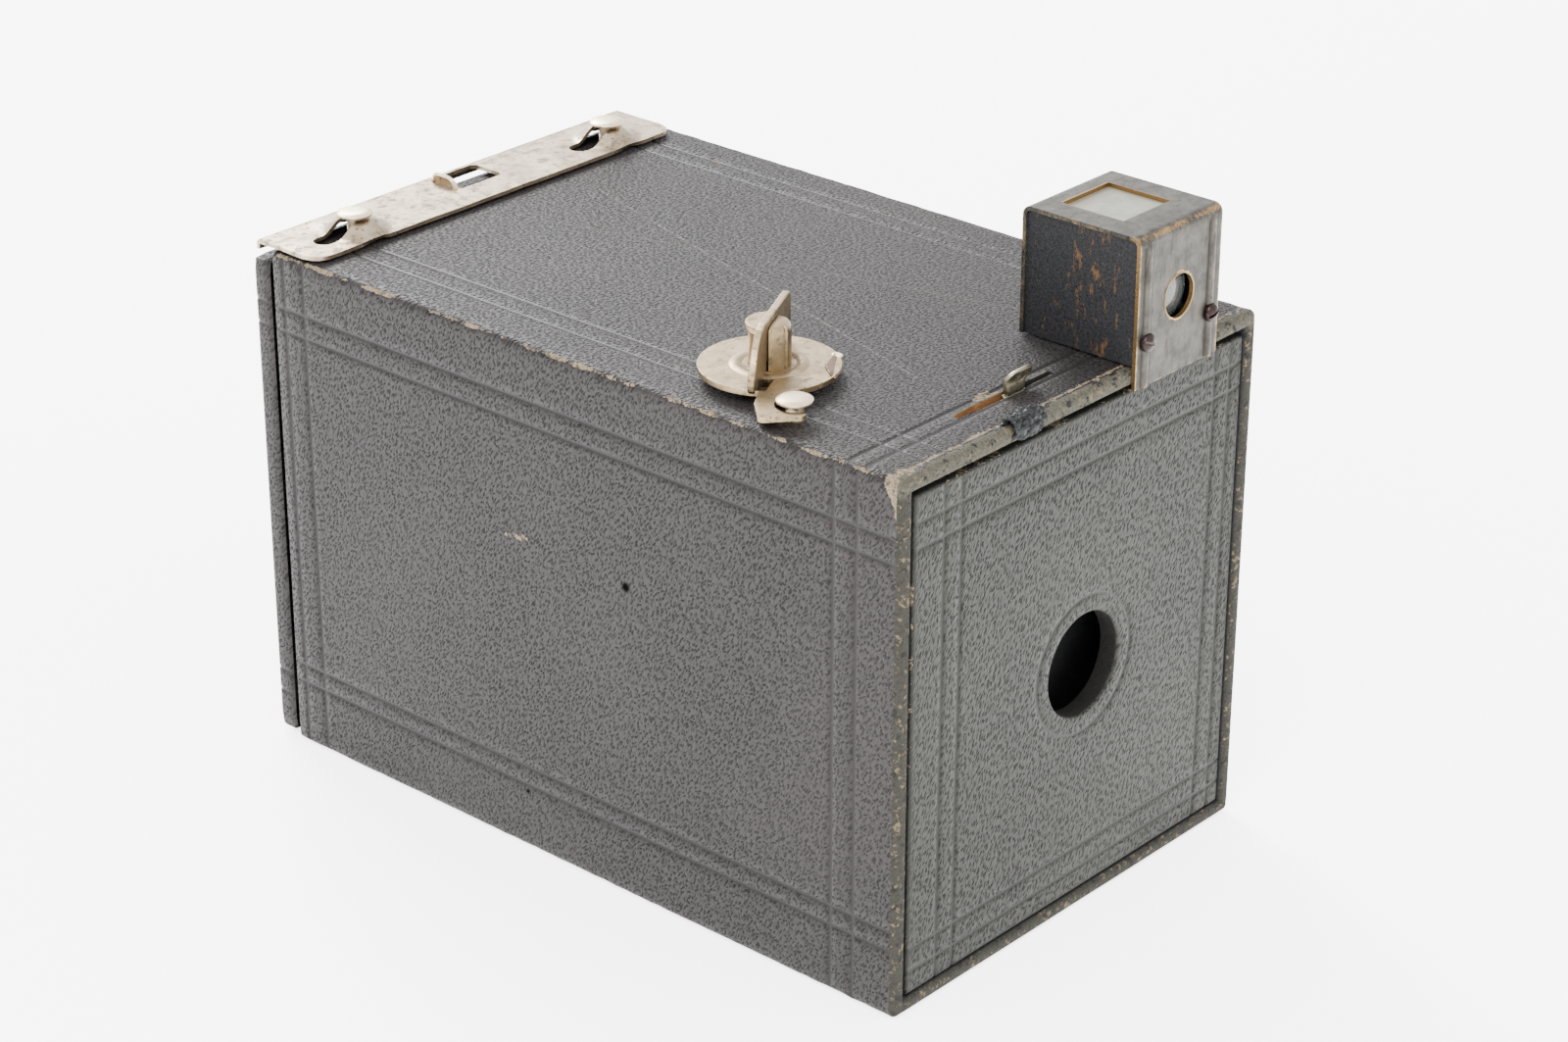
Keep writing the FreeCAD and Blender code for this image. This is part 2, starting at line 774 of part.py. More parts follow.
def latch_studs():
    """Headed studs through the roof that the sliding strip is captive on."""
    head_high = top + d["latch_stud_rise"]
    head_low = head_high - d["stud_head_thick"]
    clinch_low = roof - d["stud_head_thick"]
    for side, label in ((-1, "latch_stud_left"), (1, "latch_stud_right")):
        x = d["latch_stud_x"] * side
        head = rod_z(x, stud_row, d["latch_stud_head"], head_low, head_high)
        shank = rod_z(x, stud_row, d["latch_stud_shank"], clinch_low, head_low)
        clinch = rod_z(x, stud_row, d["stud_clinch"], clinch_low, roof)
        node(fuse(head, shank, clinch), label)


def cone_at(x, y, low, bottom_radius, top_radius, height):
    thing = doc.addObject("Part::Cone", "Cone")
    bind(thing, "Radius1", bottom_radius)
    bind(thing, "Radius2", top_radius)
    bind(thing, "Height", height)
    return place(thing, x, y, low)


def latch_strip():
    """Spring strip with a slot and a raised dome at each stud, a window and a turned-down lip."""
    left = -d["strip_left"]
    right = d["strip_right"]
    near = back - d["strip_front"]
    far = back + d["strip_back"]
    body = plate_z(strip_low, strip_high, outlines=(
        rectangle((left, right), (near, far)),
        rectangle((-d["window_half"], d["window_half"]),
                  (back - d["window_front"], back + d["window_back"]))))
    round_edges(body, d["strip_corner"],
                lambda edge: runs_along(edge, 2) and middle(edge).y < near.value + 0.1)
    lip = block((left, right), (far - d["strip_thick"], far),
                (strip_low - d["strip_lip"], strip_low))
    grip = block((-d["window_half"] - d["strip_thick"], -d["window_half"]),
                 (back - d["window_front"] * 0.8, back + d["window_back"] * 0.6),
                 (strip_high, strip_high + d["grip_rise"]))
    pieces = [body, lip, grip]
    hollows = []
    for side in (-1, 1):
        x = d["latch_stud_x"] * side
        size = (d["strip_dome_radius"], d["strip_dome_top"], d["strip_dome_rise"])
        pieces.append(cone_at(x, stud_row, strip_high, *size))
        hollows.append(cone_at(x, stud_row, strip_low, *size))
        half = d["strip_slot_half"]
        hollows.append(block((x - d["strip_travel"] - half, x),
                             (stud_row - half, stud_row + half),
                             (strip_low, top + d["latch_stud_rise"])))
        hollows.append(rod_z(x, stud_row, half, strip_low, top + d["latch_stud_rise"]))
    return node(cut(fuse(*pieces), *hollows), "latch_strip")


# ---------------------------------------------------------------- film carrier

def carrier_decks():
    edge = rectangle((-carrier_half, carrier_half), (carrier_front, carrier_back))
    pin_hole = d["roller_pin"] + d["running_gap"]
    roller_holes = [(roller_x * side, roller_y, pin_hole) for side in (-1, 1)]
    bottom = plate_z(carrier_low, deck_low, outlines=(edge,), circles=roller_holes)
    node(bottom, "carrier_bottom")
    # The roof deck is open to the front at the key, so that it slides off the key's stem.
    notch = washer_radius + d["key_notch_gap"]
    roof_deck = plate_z(deck_high, carrier_high, outlines=(edge,), circles=roller_holes)
    slot = block((key_x - notch, key_x + notch), (carrier_front - notch, key_y),
                 (deck_high, carrier_high))
    node(cut(roof_deck, slot, rod_z(key_x, key_y, notch, deck_high, carrier_high)), "carrier_top")


def carrier_front_board():
    half = d["carrier_front_half"]
    hole = cone_front_half
    rear = carrier_front + d["carrier_front_thick"]
    outer = rectangle((-half, half), (deck_low, deck_high))
    inner = rectangle((-hole, hole), (carrier_mid - hole, carrier_mid + hole))
    node(plate_y(carrier_front, rear, outlines=(outer, inner)), "carrier_front")


def carrier_gate():
    half = gate_half
    side = half + d["gate_border"]
    outer = rectangle((-side, side), (deck_low, deck_high))
    inner = rectangle((-half, half), (carrier_mid - gate_half_high, carrier_mid + gate_half_high))
    node(plate_y(gate_front, gate_back, outlines=(outer, inner)), "carrier_gate")


def frustum(front_half, extra):
    """A tapered block along Y from the carrier's front to its gate, that much larger all round."""
    body = doc.addObject("PartDesign::Body", "Body")
    sections = []
    cone_front = carrier_front + d["carrier_front_thick"]
    for y, across, up in ((cone_front, front_half, front_half),
                          (gate_front, gate_half + extra, gate_half_high + extra)):
        sketch = sketch_on(body, "XZ_Plane", -y)
        draw_outline(sketch, rectangle((-across, across), (carrier_mid - up, carrier_mid + up)))
        sections.append(sketch)
    loft = body.newObject("PartDesign::AdditiveLoft", "Loft")
    loft.Profile = sections[0]
    loft.Sections = [sections[1]]
    loft.Ruled = True
    doc.recompute()
    return body


def carrier_cone():
    """Tapered light box from the lens side to the picture gate."""
    front_half = cone_front_half
    outer = frustum(front_half, d["cone_wall"])
    inner = frustum(front_half - d["cone_wall"], ZERO)
    node(cut(outer, inner), "carrier_cone")


def spool_pins():
    """Fixed pins: both ends of the full spool turn on them, and the foot of the empty one."""
    for label, x, ends in (
            ("supply_pin_top", -key_x, (spool_high - d["spool_pin_reach"], carrier_high)),
            ("supply_pin_bottom", -key_x, (carrier_low, spool_low + d["spool_pin_reach"])),
            ("takeup_pin", key_x, (carrier_low, spool_low + d["spool_pin_reach"]))):
        node(rod_z(x, key_y, d["spool_pin"], *ends), label)


def bore_decks():
    """Holes in the two decks for the fixed spool pins."""
    for label, xs, low, high in (("carrier_bottom", (key_x, -key_x), carrier_low, deck_low),
                                 ("carrier_top", (-key_x,), deck_high, carrier_high)):
        deck = next(thing for thing in nodes if thing.Label == label)
        nodes.remove(deck)
        deck.Label = label + "_blank"
        holes = [rod_z(x, key_y, d["spool_pin"], low, high) for x in xs]
        node(cut(deck, *holes), label)


def spool(name, x, roll, driven):
    """A wooden core between two tin flanges, with paper-backed film wound on it."""
    core_low = spool_low
    core_high = spool_high
    rim = d["spool_flange_thick"]
    pin = d["spool_pin"] + d["running_gap"]
    depth = d["spool_pin_reach"] + d["fit_gap"] * 5
    core = rod_z(x, key_y, d["spool_core"], core_low, core_high)
    foot = rod_z(x, key_y, pin, core_low, core_low + depth)
    head = rod_z(x, key_y, pin, core_high - depth, core_high)
    flanges = [plate_z(low, low + rim, circles=((x, key_y, d["spool_flange"]),
                                                (x, key_y, d["spool_core"])))
               for low in (core_low, core_high - rim)]
    upper = flanges[1]
    if driven:
        # The drive slot runs out through the flange's front, so the spool slides off the tongue.
        half = d["key_tongue_thick"] / 2 + d["slot_gap"]
        reach = d["key_tongue_width"] / 2 + d["slot_gap"]
        head = block((x - half, x + half), (key_y - d["spool_flange"] * 1.1, key_y + reach),
                     (tongue_low - d["slot_gap"], core_high))
        upper = cut(upper, head)
    node(cut(core, foot, head), name + "_core")
    node(flanges[0], name + "_flange_bottom")
    node(upper, name + "_flange_top")
    edge = rim + d["film_edge_gap"]
    low = core_low + edge
    high = (core_high if not driven else tongue_low) - edge
    wound = plate_z(low, high, circles=((x, key_y, roll), (x, key_y, d["spool_core"])))
    node(wound, name + "_film")


def rollers():
    gap = d["roller_end_gap"]
    low = deck_low + gap
    high = deck_high - gap
    reach = d["roller_pin_reach"]
    for side, label in ((-1, "roller_left"), (1, "roller_right")):
        x = roller_x * side
        drum = rod_z(x, roller_y, d["roller_radius"], low, high)
        pins = rod_z(x, roller_y, d["roller_pin"], deck_low - reach, deck_high + reach)
        node(fuse(drum, pins), label)


def film_strip():
    """The film with its paper: off the full roll, round both rollers, to the empty spool."""
    inner = d["roller_radius"] + d["film_gap"]
    outer = inner + d["film_thick"]
    bend = math.tan(math.radians(22.5))
    supply_x = -key_x - d["supply_roll"] - d["film_roll_gap"]
    takeup_x = key_x + d["takeup_roll"] + d["film_roll_gap"]

    def run(offset, side):
        return [(roller_x * side + offset * side, roller_y),
                (roller_x * side + offset * side, roller_y + offset * bend),
                (roller_x * side + offset * bend * side, roller_y + offset),
                (roller_x * side, roller_y + offset)]

    near = [(supply_x - d["film_thick"], key_y)] + run(inner, 1)
    near = near + run(inner, -1)[::-1] + [(takeup_x + d["film_thick"], key_y)]
    far = [(supply_x, key_y)] + run(outer, 1) + run(outer, -1)[::-1] + [(takeup_x, key_y)]
    edge = d["spool_flange_thick"] + d["film_edge_gap"]
    body = plate_z(spool_low + edge, tongue_low - edge, outlines=(near + far[::-1],))
    return node(body, "film_strip")


# ---------------------------------------------------------------- back cap

def cap_board():
    low = d["cap_bottom_rise"]
    high = top - d["cap_top_drop"]
    side = half_width - d["cap_side_inset"]
    near = back + d["cap_gap"]
    far = near + d["cap_thick"]
    body = plate_y(near, far, outlines=(rectangle((-side, side), (low, high)),),
                   circles=((ZERO, carrier_mid, d["window_radius"]),))
    round_edges(body, d["cap_round"], lambda edge: (
        middle(edge).y > far.value - 0.1 and not edge.isClosed()))
    return node(body, "cap_board")


def cap_rim():
    """Inner frame of the cap, which slides into the end of the box."""
    near = back - d["cap_rim_reach"]
    far = back + d["cap_gap"]
    side = half_inside - d["cap_rim_gap"]
    low = floor + d["cap_rim_gap"]
    high = roof - d["cap_rim_gap"]
    wide = d["cap_rim_width"]
    outer = rectangle((-side, side), (low, high))
    inner = rectangle((-side + wide, side - wide), (low + wide, high - wide))
    return node(plate_y(near, far, outlines=(outer, inner)), "cap_rim")


def red_window():
    far = back + d["cap_gap"]
    body = plate_y(far - d["window_glass_thick"], far,
                   circles=((ZERO, carrier_mid, d["window_glass"]),))
    return node(body, "red_window")


# ---------------------------------------------------------------- finder

def finder_strap():
    """One brass strip: a front plate that laps the box edge, the top with its window, the back."""
    left = finder_x - finder_half
    right = finder_x + finder_half
    metal = d["finder_metal"]
    lens_level = top + d["finder_lens_rise"]
    low = top - d["finder_lap"]
    side = doc.addObject("PartDesign::Body", "Body")
    sketch = sketch_on(side, "YZ_Plane", left)
    draw_outline(sketch, [
        (finder_front, low), (finder_front + metal, low),
        (finder_front + metal, finder_high - metal), (finder_back - metal, finder_high - metal),
        (finder_back - metal, finder_low), (finder_back, finder_low),
        (finder_back, finder_high), (finder_front, finder_high)])
    pad = side.newObject("PartDesign::Pad", "Pad")
    pad.Profile = sketch
    bind(pad, "Length", d["finder_width"])
    round_edges(side, d["finder_round"], lambda edge: (
        runs_along(edge, 0) and middle(edge).z > finder_high.value - 0.1))
    half = d["finder_window_half"]
    window_y = finder_back - d["finder_window_back"]
    window = block((finder_x - half, finder_x + half), (window_y - half, window_y + half),
                   (finder_high - metal, finder_high))
    eye = rod_y(finder_x, lens_level, d["finder_lens_hole"], finder_front, finder_front + metal)
    beads = []
    for side_sign in (-1, 1):
        x = finder_x + d["finder_bead_x"] * side_sign
        beads.append(block((x - d["finder_bead_half"], x + d["finder_bead_half"]),
                           (finder_front - d["finder_bead_rise"], finder_front),
                           (low, finder_high - d["finder_round"])))
    plain = cut(side, window, eye)
    screw_level = top + d["finder_screw_rise"]
    screws = [rod_y(finder_x + d["finder_bead_x"] * sign, screw_level,
                    d["finder_screw_radius"] * 0.5, finder_front - d["finder_bead_rise"],
                    finder_front + metal) for sign in (-1, 1)]
    return node(cut(fuse(plain, *beads), *screws), "finder_strap")


def finder_body():
    """Blackened wooden housing under the strap, hollow for the mirror."""
    inset = d["finder_side_inset"]
    wood = d["finder_wood"]
    metal = d["finder_metal"]
    x = (finder_x - finder_half + inset, finder_x + finder_half - inset)
    y = (finder_front + metal, finder_back - metal)
    z = (finder_low, finder_high - metal)
    cavity = block((x[0] + wood, x[1] - wood), (y[0], y[1] - wood), (z[0] + wood, z[1]))
    ledge = d["finder_glass_thick"]
    rebate = block((x[0] + wood / 2, x[1] - wood / 2), (y[0], y[1] - wood / 2), (z[1] - ledge, z[1]))
    holes = [rod_y(finder_x + d["finder_bead_x"] * sign, top + d["finder_screw_rise"],
                   d["finder_screw_radius"] * 0.5, y[0], y[0] + wood * 2) for sign in (-1, 1)]
    lens_level = top + d["finder_lens_rise"]
    seat = rod_y(finder_x, lens_level, d["finder_lens_radius"] + d["running_gap"], y[0], y[0] + wood)
    return node(cut(block(x, y, z), cavity, rebate, seat, *holes), "finder_body")


def finder_glass():
    """Ground glass in the rebate under the strap's window."""
    inset = d["finder_side_inset"] + d["finder_wood"] / 2 + d["fit_gap"]
    metal = d["finder_metal"]
    high = finder_high - metal
    return node(block((finder_x - finder_half + inset, finder_x + finder_half - inset),
                      (finder_front + metal + d["fit_gap"], finder_back - metal
                       - d["finder_wood"] / 2 - d["fit_gap"]),
                      (high - d["finder_glass_thick"], high)), "finder_glass")


def finder_lens():
    """Double-convex lens: where two equal balls overlap."""
    curve = d["finder_lens_curve"]
    offset = leg(curve, d["finder_lens_radius"])
    y = finder_front + d["finder_metal"] + d["finder_lens_inset"]
    level = top + d["finder_lens_rise"]
    lens = common(ball(finder_x, y - offset, level, curve), ball(finder_x, y + offset, level, curve))
    return node(lens, "finder_lens")


def finder_mirror():
    """Looking-glass at 45 degrees: it turns the view up onto the ground glass."""
    half = d["mirror_length"] / 2
    wide = finder_half - d["finder_side_inset"] - d["finder_wood"] - d["mirror_side_gap"]
    body = plate_z(-d["mirror_thick"], ZERO, outlines=(rectangle((-wide, wide), (-half, half)),))
    middle_y = (finder_front + d["finder_metal"] + finder_back - d["finder_metal"]
                - d["finder_wood"]) / 2
    middle_z = (finder_low + d["finder_wood"] + finder_high - d["finder_metal"]
                - d["finder_glass_thick"]) / 2
    place(body, finder_x, middle_y, middle_z, turn=((1, 0, 0), Size("45", 45.0)))
    return node(body, "finder_mirror")


def finder_screws():
    """The two slotted dome-headed screws through the strap into the housing."""
    radius = d["finder_screw_radius"]
    level = top + d["finder_screw_rise"]
    seat = finder_front - d["finder_bead_rise"]
    slot_half = d["finder_screw_slot"] / 2
    screws = []
    for sign in (-1, 1):
        x = finder_x + d["finder_bead_x"] * sign
        cap = common(ball(x, seat, level, radius), rod_y(x, level, radius, seat - radius * 0.7, seat))
        slot = block((x - radius, x + radius), (seat - radius, seat - radius * 0.35),
                     (level - slot_half, level + slot_half))
        shank = rod_y(x, level, radius * 0.5, seat, finder_front + d["finder_metal"]
                      + d["finder_wood"] * 1.8)
        screws.append(cut(fuse(cap, shank), slot))
    group = doc.addObject("Part::Compound", "Screws")
    group.Links = screws
    return node(group, "finder_screws")


def finder_clip():
    """Spring leg that slides in under the roof's front edge."""
    high = roof - d["fit_gap"]
    start = finder_front + d["finder_metal"]
    return node(block((finder_x - d["clip_half"], finder_x + d["clip_half"]),
                      (start, start + d["clip_reach"]), (high - d["clip_thick"], high)), "finder_clip")


# ---------------------------------------------------------------- build and write

def build():
    for make in (box_shell, front_board, front_frame, cleats, shutter_board, stop_plate,
                 lens_cell, lens_glass, lens_ring,
                 shutter_disc, shutter_disc_rivet, shutter_lever, shutter_lever_rivet,
                 shutter_lever_spacer, shutter_spring,
                 key_eyelet, key_stud, key_stem, key_plate, key_washer,
                 latch_studs, latch_strip,
                 carrier_decks, carrier_front_board, carrier_gate, carrier_cone, spool_pins,
                 bore_decks):
        make()
    spool("takeup", key_x, d["takeup_roll"], driven=True)
    spool("supply", -key_x, d["supply_roll"], driven=False)
    for make in (rollers, film_strip, cap_board, cap_rim, red_window,
                 finder_strap, finder_body, finder_glass, finder_lens, finder_mirror,
                 finder_screws, finder_clip):
        make()
    doc.recompute()


def check():
    """Stop if any object failed or any sub-part is empty, open or not valid."""
    faults = [thing.Name for thing in doc.Objects
              if "Invalid" in thing.State or "Error" in thing.State]
    for thing in nodes:
        shape = thing.Shape
        if shape.isNull() or not shape.isValid() or not shape.Solids:
            faults.append(thing.Label)
    if faults:
        raise RuntimeError("not built: " + ", ".join(faults))


def write():
    os.makedirs("parts", exist_ok=True)
    for thing in nodes:
        thing.Shape.exportStep(os.path.join("parts", thing.Label + ".step"))
        print(f"{thing.Label:24s} {len(thing.Shape.Solids)} solid(s) {thing.Shape.Volume:10.2f} mm3")
    print(len(nodes), "nodes")


build()
check()
write()
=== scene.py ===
"""Surfaces, materials, light and camera for the roll-film box camera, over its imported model."""

import json
import math

import bpy
from mathutils import Matrix, Vector, noise

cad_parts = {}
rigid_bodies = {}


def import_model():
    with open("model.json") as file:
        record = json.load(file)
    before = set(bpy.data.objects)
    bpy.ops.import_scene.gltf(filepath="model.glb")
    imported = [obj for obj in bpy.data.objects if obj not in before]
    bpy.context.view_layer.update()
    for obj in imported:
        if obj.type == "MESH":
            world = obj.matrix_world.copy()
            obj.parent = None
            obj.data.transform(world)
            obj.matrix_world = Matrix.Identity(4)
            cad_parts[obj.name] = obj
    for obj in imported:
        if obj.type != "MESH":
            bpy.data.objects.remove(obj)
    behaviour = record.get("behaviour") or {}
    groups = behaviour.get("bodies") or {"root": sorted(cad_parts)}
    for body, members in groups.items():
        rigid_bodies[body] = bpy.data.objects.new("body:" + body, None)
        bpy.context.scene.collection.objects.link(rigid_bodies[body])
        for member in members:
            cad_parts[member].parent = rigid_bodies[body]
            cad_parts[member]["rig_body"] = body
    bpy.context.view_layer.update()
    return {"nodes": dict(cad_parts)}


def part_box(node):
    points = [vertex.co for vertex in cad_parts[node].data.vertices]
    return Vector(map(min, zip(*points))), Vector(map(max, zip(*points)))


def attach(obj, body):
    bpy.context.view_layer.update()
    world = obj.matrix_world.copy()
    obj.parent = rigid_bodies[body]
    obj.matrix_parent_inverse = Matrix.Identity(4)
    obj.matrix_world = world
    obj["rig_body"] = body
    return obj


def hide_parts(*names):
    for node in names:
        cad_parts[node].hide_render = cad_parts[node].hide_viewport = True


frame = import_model()
MM = 0.001


# ---------------------------------------------------------------- places, in millimetres

def span(node):
    low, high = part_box(node)
    return low / MM, high / MM


def middle(node):
    low, high = span(node)
    return (low + high) / 2


shell_low, shell_high = span("box_shell")
board_low, board_high = span("front_board")
cap_low, cap_high = span("cap_board")
strip_low, strip_high = span("latch_strip")
strap_low, strap_high = span("finder_strap")
lens = middle("lens_ring")
window = middle("red_window")
key = middle("key_eyelet")
stud = middle("key_stud")
stud_top = span("key_stud")[1].z
disc_low = span("key_plate")[0].z
stem_low, stem_high = span("key_stem")
lever_low, lever_high = span("shutter_lever")
eye_x = middle("finder_lens").x
eye_z = middle("finder_lens").z
studs = [(middle(name), span(name)[1].z) for name in ("latch_stud_left", "latch_stud_right")]
TOP = shell_high.z
WALL = 2.2
SIDE_X = shell_low.x
SLOT_Y = -51.0
WINDOW_Y = -48.4
WINDOW_HALF = 5.15
EYE_RADIUS = 3.15
BEAD_AT = 7.1
LENS_HOLE = 7.65


# ---------------------------------------------------------------- materials

class Finish:
    """A procedural material: one Principled shader and the node graph that feeds it."""

    def __init__(self, name, **sockets):
        self.material = bpy.data.materials.new(name)
        self.material.use_nodes = True
        self.tree = self.material.node_tree
        self.shader = self.tree.nodes["Principled BSDF"]
        self.where = self.tree.nodes.new("ShaderNodeTexCoord").outputs["Object"]
        for socket, value in sockets.items():
            self.shader.inputs[socket.replace("_", " ")].default_value = value

    def add(self, kind, feeds, **settings):
        made = self.tree.nodes.new("ShaderNode" + kind)
        for name, value in settings.items():
            setattr(made, name, value)
        for socket, value in feeds.items():
            self.feed(made.inputs[socket], value)
        return made

    def feed(self, socket, value):
        if isinstance(value, bpy.types.NodeSocket):
            self.tree.links.new(value, socket)
        else:
            socket.default_value = value

    def mapped(self, stretch=(1, 1, 1), turn=(0, 0, 0)):
        turn = tuple(math.radians(angle) for angle in turn)
        feeds = {"Vector": self.where, "Scale": stretch, "Rotation": turn}
        return self.add("Mapping", feeds).outputs["Vector"]

    def noise(self, size, detail=3.0, rough=0.55, vector=None):
        """Noise whose lumps are about size millimetres across."""
        feeds = {"Vector": vector or self.where, "Scale": 1 / (size * MM),
                 "Detail": detail, "Roughness": rough}
        return self.add("TexNoise", feeds).outputs["Fac"]

    def cells(self, size, vector=None, feature="F1", flat=False):
        """Distance in cells about size millimetres across, from 0 at a cell's middle."""
        feeds = {"Vector": vector or self.where, "Scale": 1 / (size * MM)}
        space = "2D" if flat else "3D"
        made = self.add("TexVoronoi", feeds, feature=feature, voronoi_dimensions=space)
        return made.outputs["Distance"]

    def dot(self, vector, direction):
        feeds = {0: vector, 1: direction}
        return self.add("VectorMath", feeds, operation="DOT_PRODUCT").outputs["Value"]

    def spot(self, place, inner, outer):
        """1 at a place, falling to 0 between inner and outer millimetres from it."""
        feeds = {0: self.where, 1: tuple(Vector(place) * MM)}
        away = self.add("VectorMath", feeds, operation="DISTANCE").outputs["Value"]
        return self.step(away, inner * MM, outer * MM, 1.0, 0.0)

    def scored(self, start, end, half):
        """1 along a line scored in the roof from start to end, 0 elsewhere."""
        run = Vector(end) - Vector(start)
        run_unit = run.normalized()
        side = Vector((-run_unit.y, run_unit.x))
        off = self.dot(self.where, (side.x, side.y, 0.0))
        off = self.sum(off, side.dot(Vector(start)) * MM, "SUBTRACT")
        off = self.sum(off, 0.0, "ABSOLUTE")
        along = self.dot(self.where, (run_unit.x, run_unit.y, 0.0))
        along = self.sum(along, run_unit.dot(Vector(start)) * MM, "SUBTRACT")
        line = self.step(off, half * 0.3 * MM, half * MM, 1.0, 0.0)
        line = self.sum(line, self.step(along, 0.0, 4 * MM), "MULTIPLY")
        ending = self.step(along, (run.length - 4) * MM, run.length * MM, 1.0, 0.0)
        line = self.sum(line, ending, "MULTIPLY")
        height = self.axes()[2]
        return self.sum(line, self.step(height, (TOP - 1.0) * MM, (TOP - 0.5) * MM), "MULTIPLY")

    def sum(self, first, second, action="ADD"):
        feeds = {0: first, 1: second}
        return self.add("Math", feeds, operation=action).outputs[0]

    def step(self, value, low, high, start=0.0, end=1.0):
        """Smooth change from start to end as value goes from low to high."""
        feeds = {"Value": value, "From Min": low, "From Max": high, "To Min": start, "To Max": end}
        return self.add("MapRange", feeds, interpolation_type="SMOOTHSTEP").outputs["Result"]

    def mix(self, share, first, second, action="MIX"):
        made = self.add("Mix", {0: share}, data_type="RGBA", blend_type=action)
        self.feed(made.inputs[6], first)
        self.feed(made.inputs[7], second)
        return made.outputs[2]

    def axes(self):
        return self.add("SeparateXYZ", {0: self.where}).outputs

    def mask(self, name="marks"):
        made = self.add("Attribute", {}, attribute_name=name)
        return self.add("SeparateColor", {0: made.outputs["Color"]}).outputs

    def bump(self, height, depth, under=None):
        """Relief depth millimetres high, over the relief under it."""
        feeds = {"Height": height, "Distance": depth * MM, "Strength": 1.0}
        if under:
            feeds["Normal"] = under
        return self.add("Bump", feeds).outputs["Normal"]

    def show(self, colour=None, rough=None, normal=None, metal=None):
        parts = {"Base Color": colour, "Roughness": rough, "Normal": normal, "Metallic": metal}
        for socket, value in parts.items():
            if value is not None:
                self.feed(self.shader.inputs[socket], value)
        return self.material


def grey(value, red=1.0, green=1.0, blue=1.0):
    return (value * red, value * green, value * blue, 1.0)


TAN = (0.09, 0.068, 0.043, 1.0)
CREAM = (0.19, 0.15, 0.102, 1.0)
BOARD_EDGE = (0.062, 0.058, 0.043, 1.0)
RAW_BOARD = (0.21, 0.105, 0.04, 1.0)
SIGHT_LINES = (((-5.0, 44.3), (18.5, -43.0)), ((11.2, 42.6), (-12.0, -40.0)))
SCUFF = ((12.3, 49.2, 0.28), (11.6, 49.3, 0.4), (10.9, 49.75, 0.3), (10.3, 49.5, 0.42),
         (9.6, 49.4, 0.35), (9.0, 49.9, 0.32), (8.3, 49.7, 0.25))
STAINS = (((-38.1, -10.6, 48.6), 0.35, 1.15), ((-38.1, 9.4, 9.5), 0.1, 0.6))


def pressed_grain(made, skew, size):
    """Pores and creases on a flat sheet; skew gives where the X, Y and Z axes go on it."""
    feeds = {"Vector": made.where, "Scale": 1 / (1.3 * MM), "Detail": 1.0}
    wobble = made.add("TexNoise", feeds).outputs["Color"]
    across = made.dot(made.where, tuple(axis[0] for axis in skew))
    up = made.dot(made.where, tuple(axis[1] for axis in skew))
    sheet = made.add("CombineXYZ", {0: across, 1: up}).outputs[0]
    drift = made.add("VectorMath", {0: wobble, "Scale": 0.75 * MM}, operation="SCALE").outputs[0]
    sheet = made.add("VectorMath", {0: sheet, 1: drift}).outputs[0]
    pores = made.step(made.cells(size, sheet, flat=True), 0.12, 0.5)
    creases = made.step(made.cells(size * 1.5, sheet, "DISTANCE_TO_EDGE", True), 0.0, 0.24)
    return made.sum(made.sum(pores, 0.68, "MULTIPLY"), made.sum(creases, 0.32, "MULTIPLY"))


def cover_colour(made, grain, smooth, fine, ground, pit, sheen):
    """Black with a grey bloom, darker in its pores, its bands and its bruises."""
    broad = made.noise(30.0, 3.0, 0.5)
    colour = made.mix(grain, pit, ground)
    colour = made.mix(made.step(broad, 0.35, 0.7, 0.0, 0.22), colour, sheen)
    colour = made.mix(made.sum(made.step(fine, 0.3, 0.75), 0.25, "MULTIPLY"), colour, sheen)
    knots = made.step(made.noise(0.7, 2.0, 0.6), 0.5, 0.68, 0.0, 0.3)
    off_band = made.step(smooth, 0.0, 0.6, 1.0, 0.0)
    colour = made.mix(made.sum(knots, off_band, "MULTIPLY"), colour, pit)
    colour = made.mix(made.step(smooth, 0.0, 1.0, 0.0, 0.3), colour, pit)
    bruise = made.step(made.noise(7.0, 5.0, 0.65), 0.62, 0.74, 0.0, 0.2)
    return made.mix(bruise, colour, pit)


def box_marks(made, colour, height, gloss, worn, sheen):
    """Lines scored across the roof, dark blots, and the zigzag scuff on the key's side."""
    for start, end in SIGHT_LINES:
        line = made.scored(start, end, 0.4)
        height = made.sum(height, line, "SUBTRACT")
        colour = made.mix(made.sum(line, 0.7, "MULTIPLY"), colour, sheen)
    for place, inner, outer in STAINS:
        blot = made.spot(place, inner, outer)
        colour = made.mix(blot, colour, grey(0.002))
        gloss = made.sum(gloss, made.sum(1.0, blot, "SUBTRACT"), "MULTIPLY")
    scuff = 0.0
    for y, z, size in SCUFF:
        scuff = made.sum(scuff, made.spot((SIDE_X, y, z), 0.1, size * 2.0), "MAXIMUM")
    worn = made.sum(worn, made.sum(scuff, 0.7, "MULTIPLY"), "MAXIMUM")
    return colour, height, gloss, worn


def board_rim(made, fine):
    """The card walls' front rim: pale and cracked on the roof, dark lower down, torn in places."""
    board = made.mix(made.step(fine, 0.3, 0.7), grey(0.03, 1.0, 0.98, 0.8), BOARD_EDGE)
    crack = made.step(made.noise(1.5, 3.0, 0.62), 0.36, 0.45)
    board = made.mix(crack, grey(0.012), board)
    below_roof = made.step(made.axes()[2], (TOP - 3.0) * MM, (TOP - 1.6) * MM, 0.72, 0.0)
    board = made.mix(below_roof, board, grey(0.013, 1.0, 0.98, 0.88))
    return made.mix(made.step(made.noise(1.0, 4.0, 0.7), 0.56, 0.64), board, TAN)


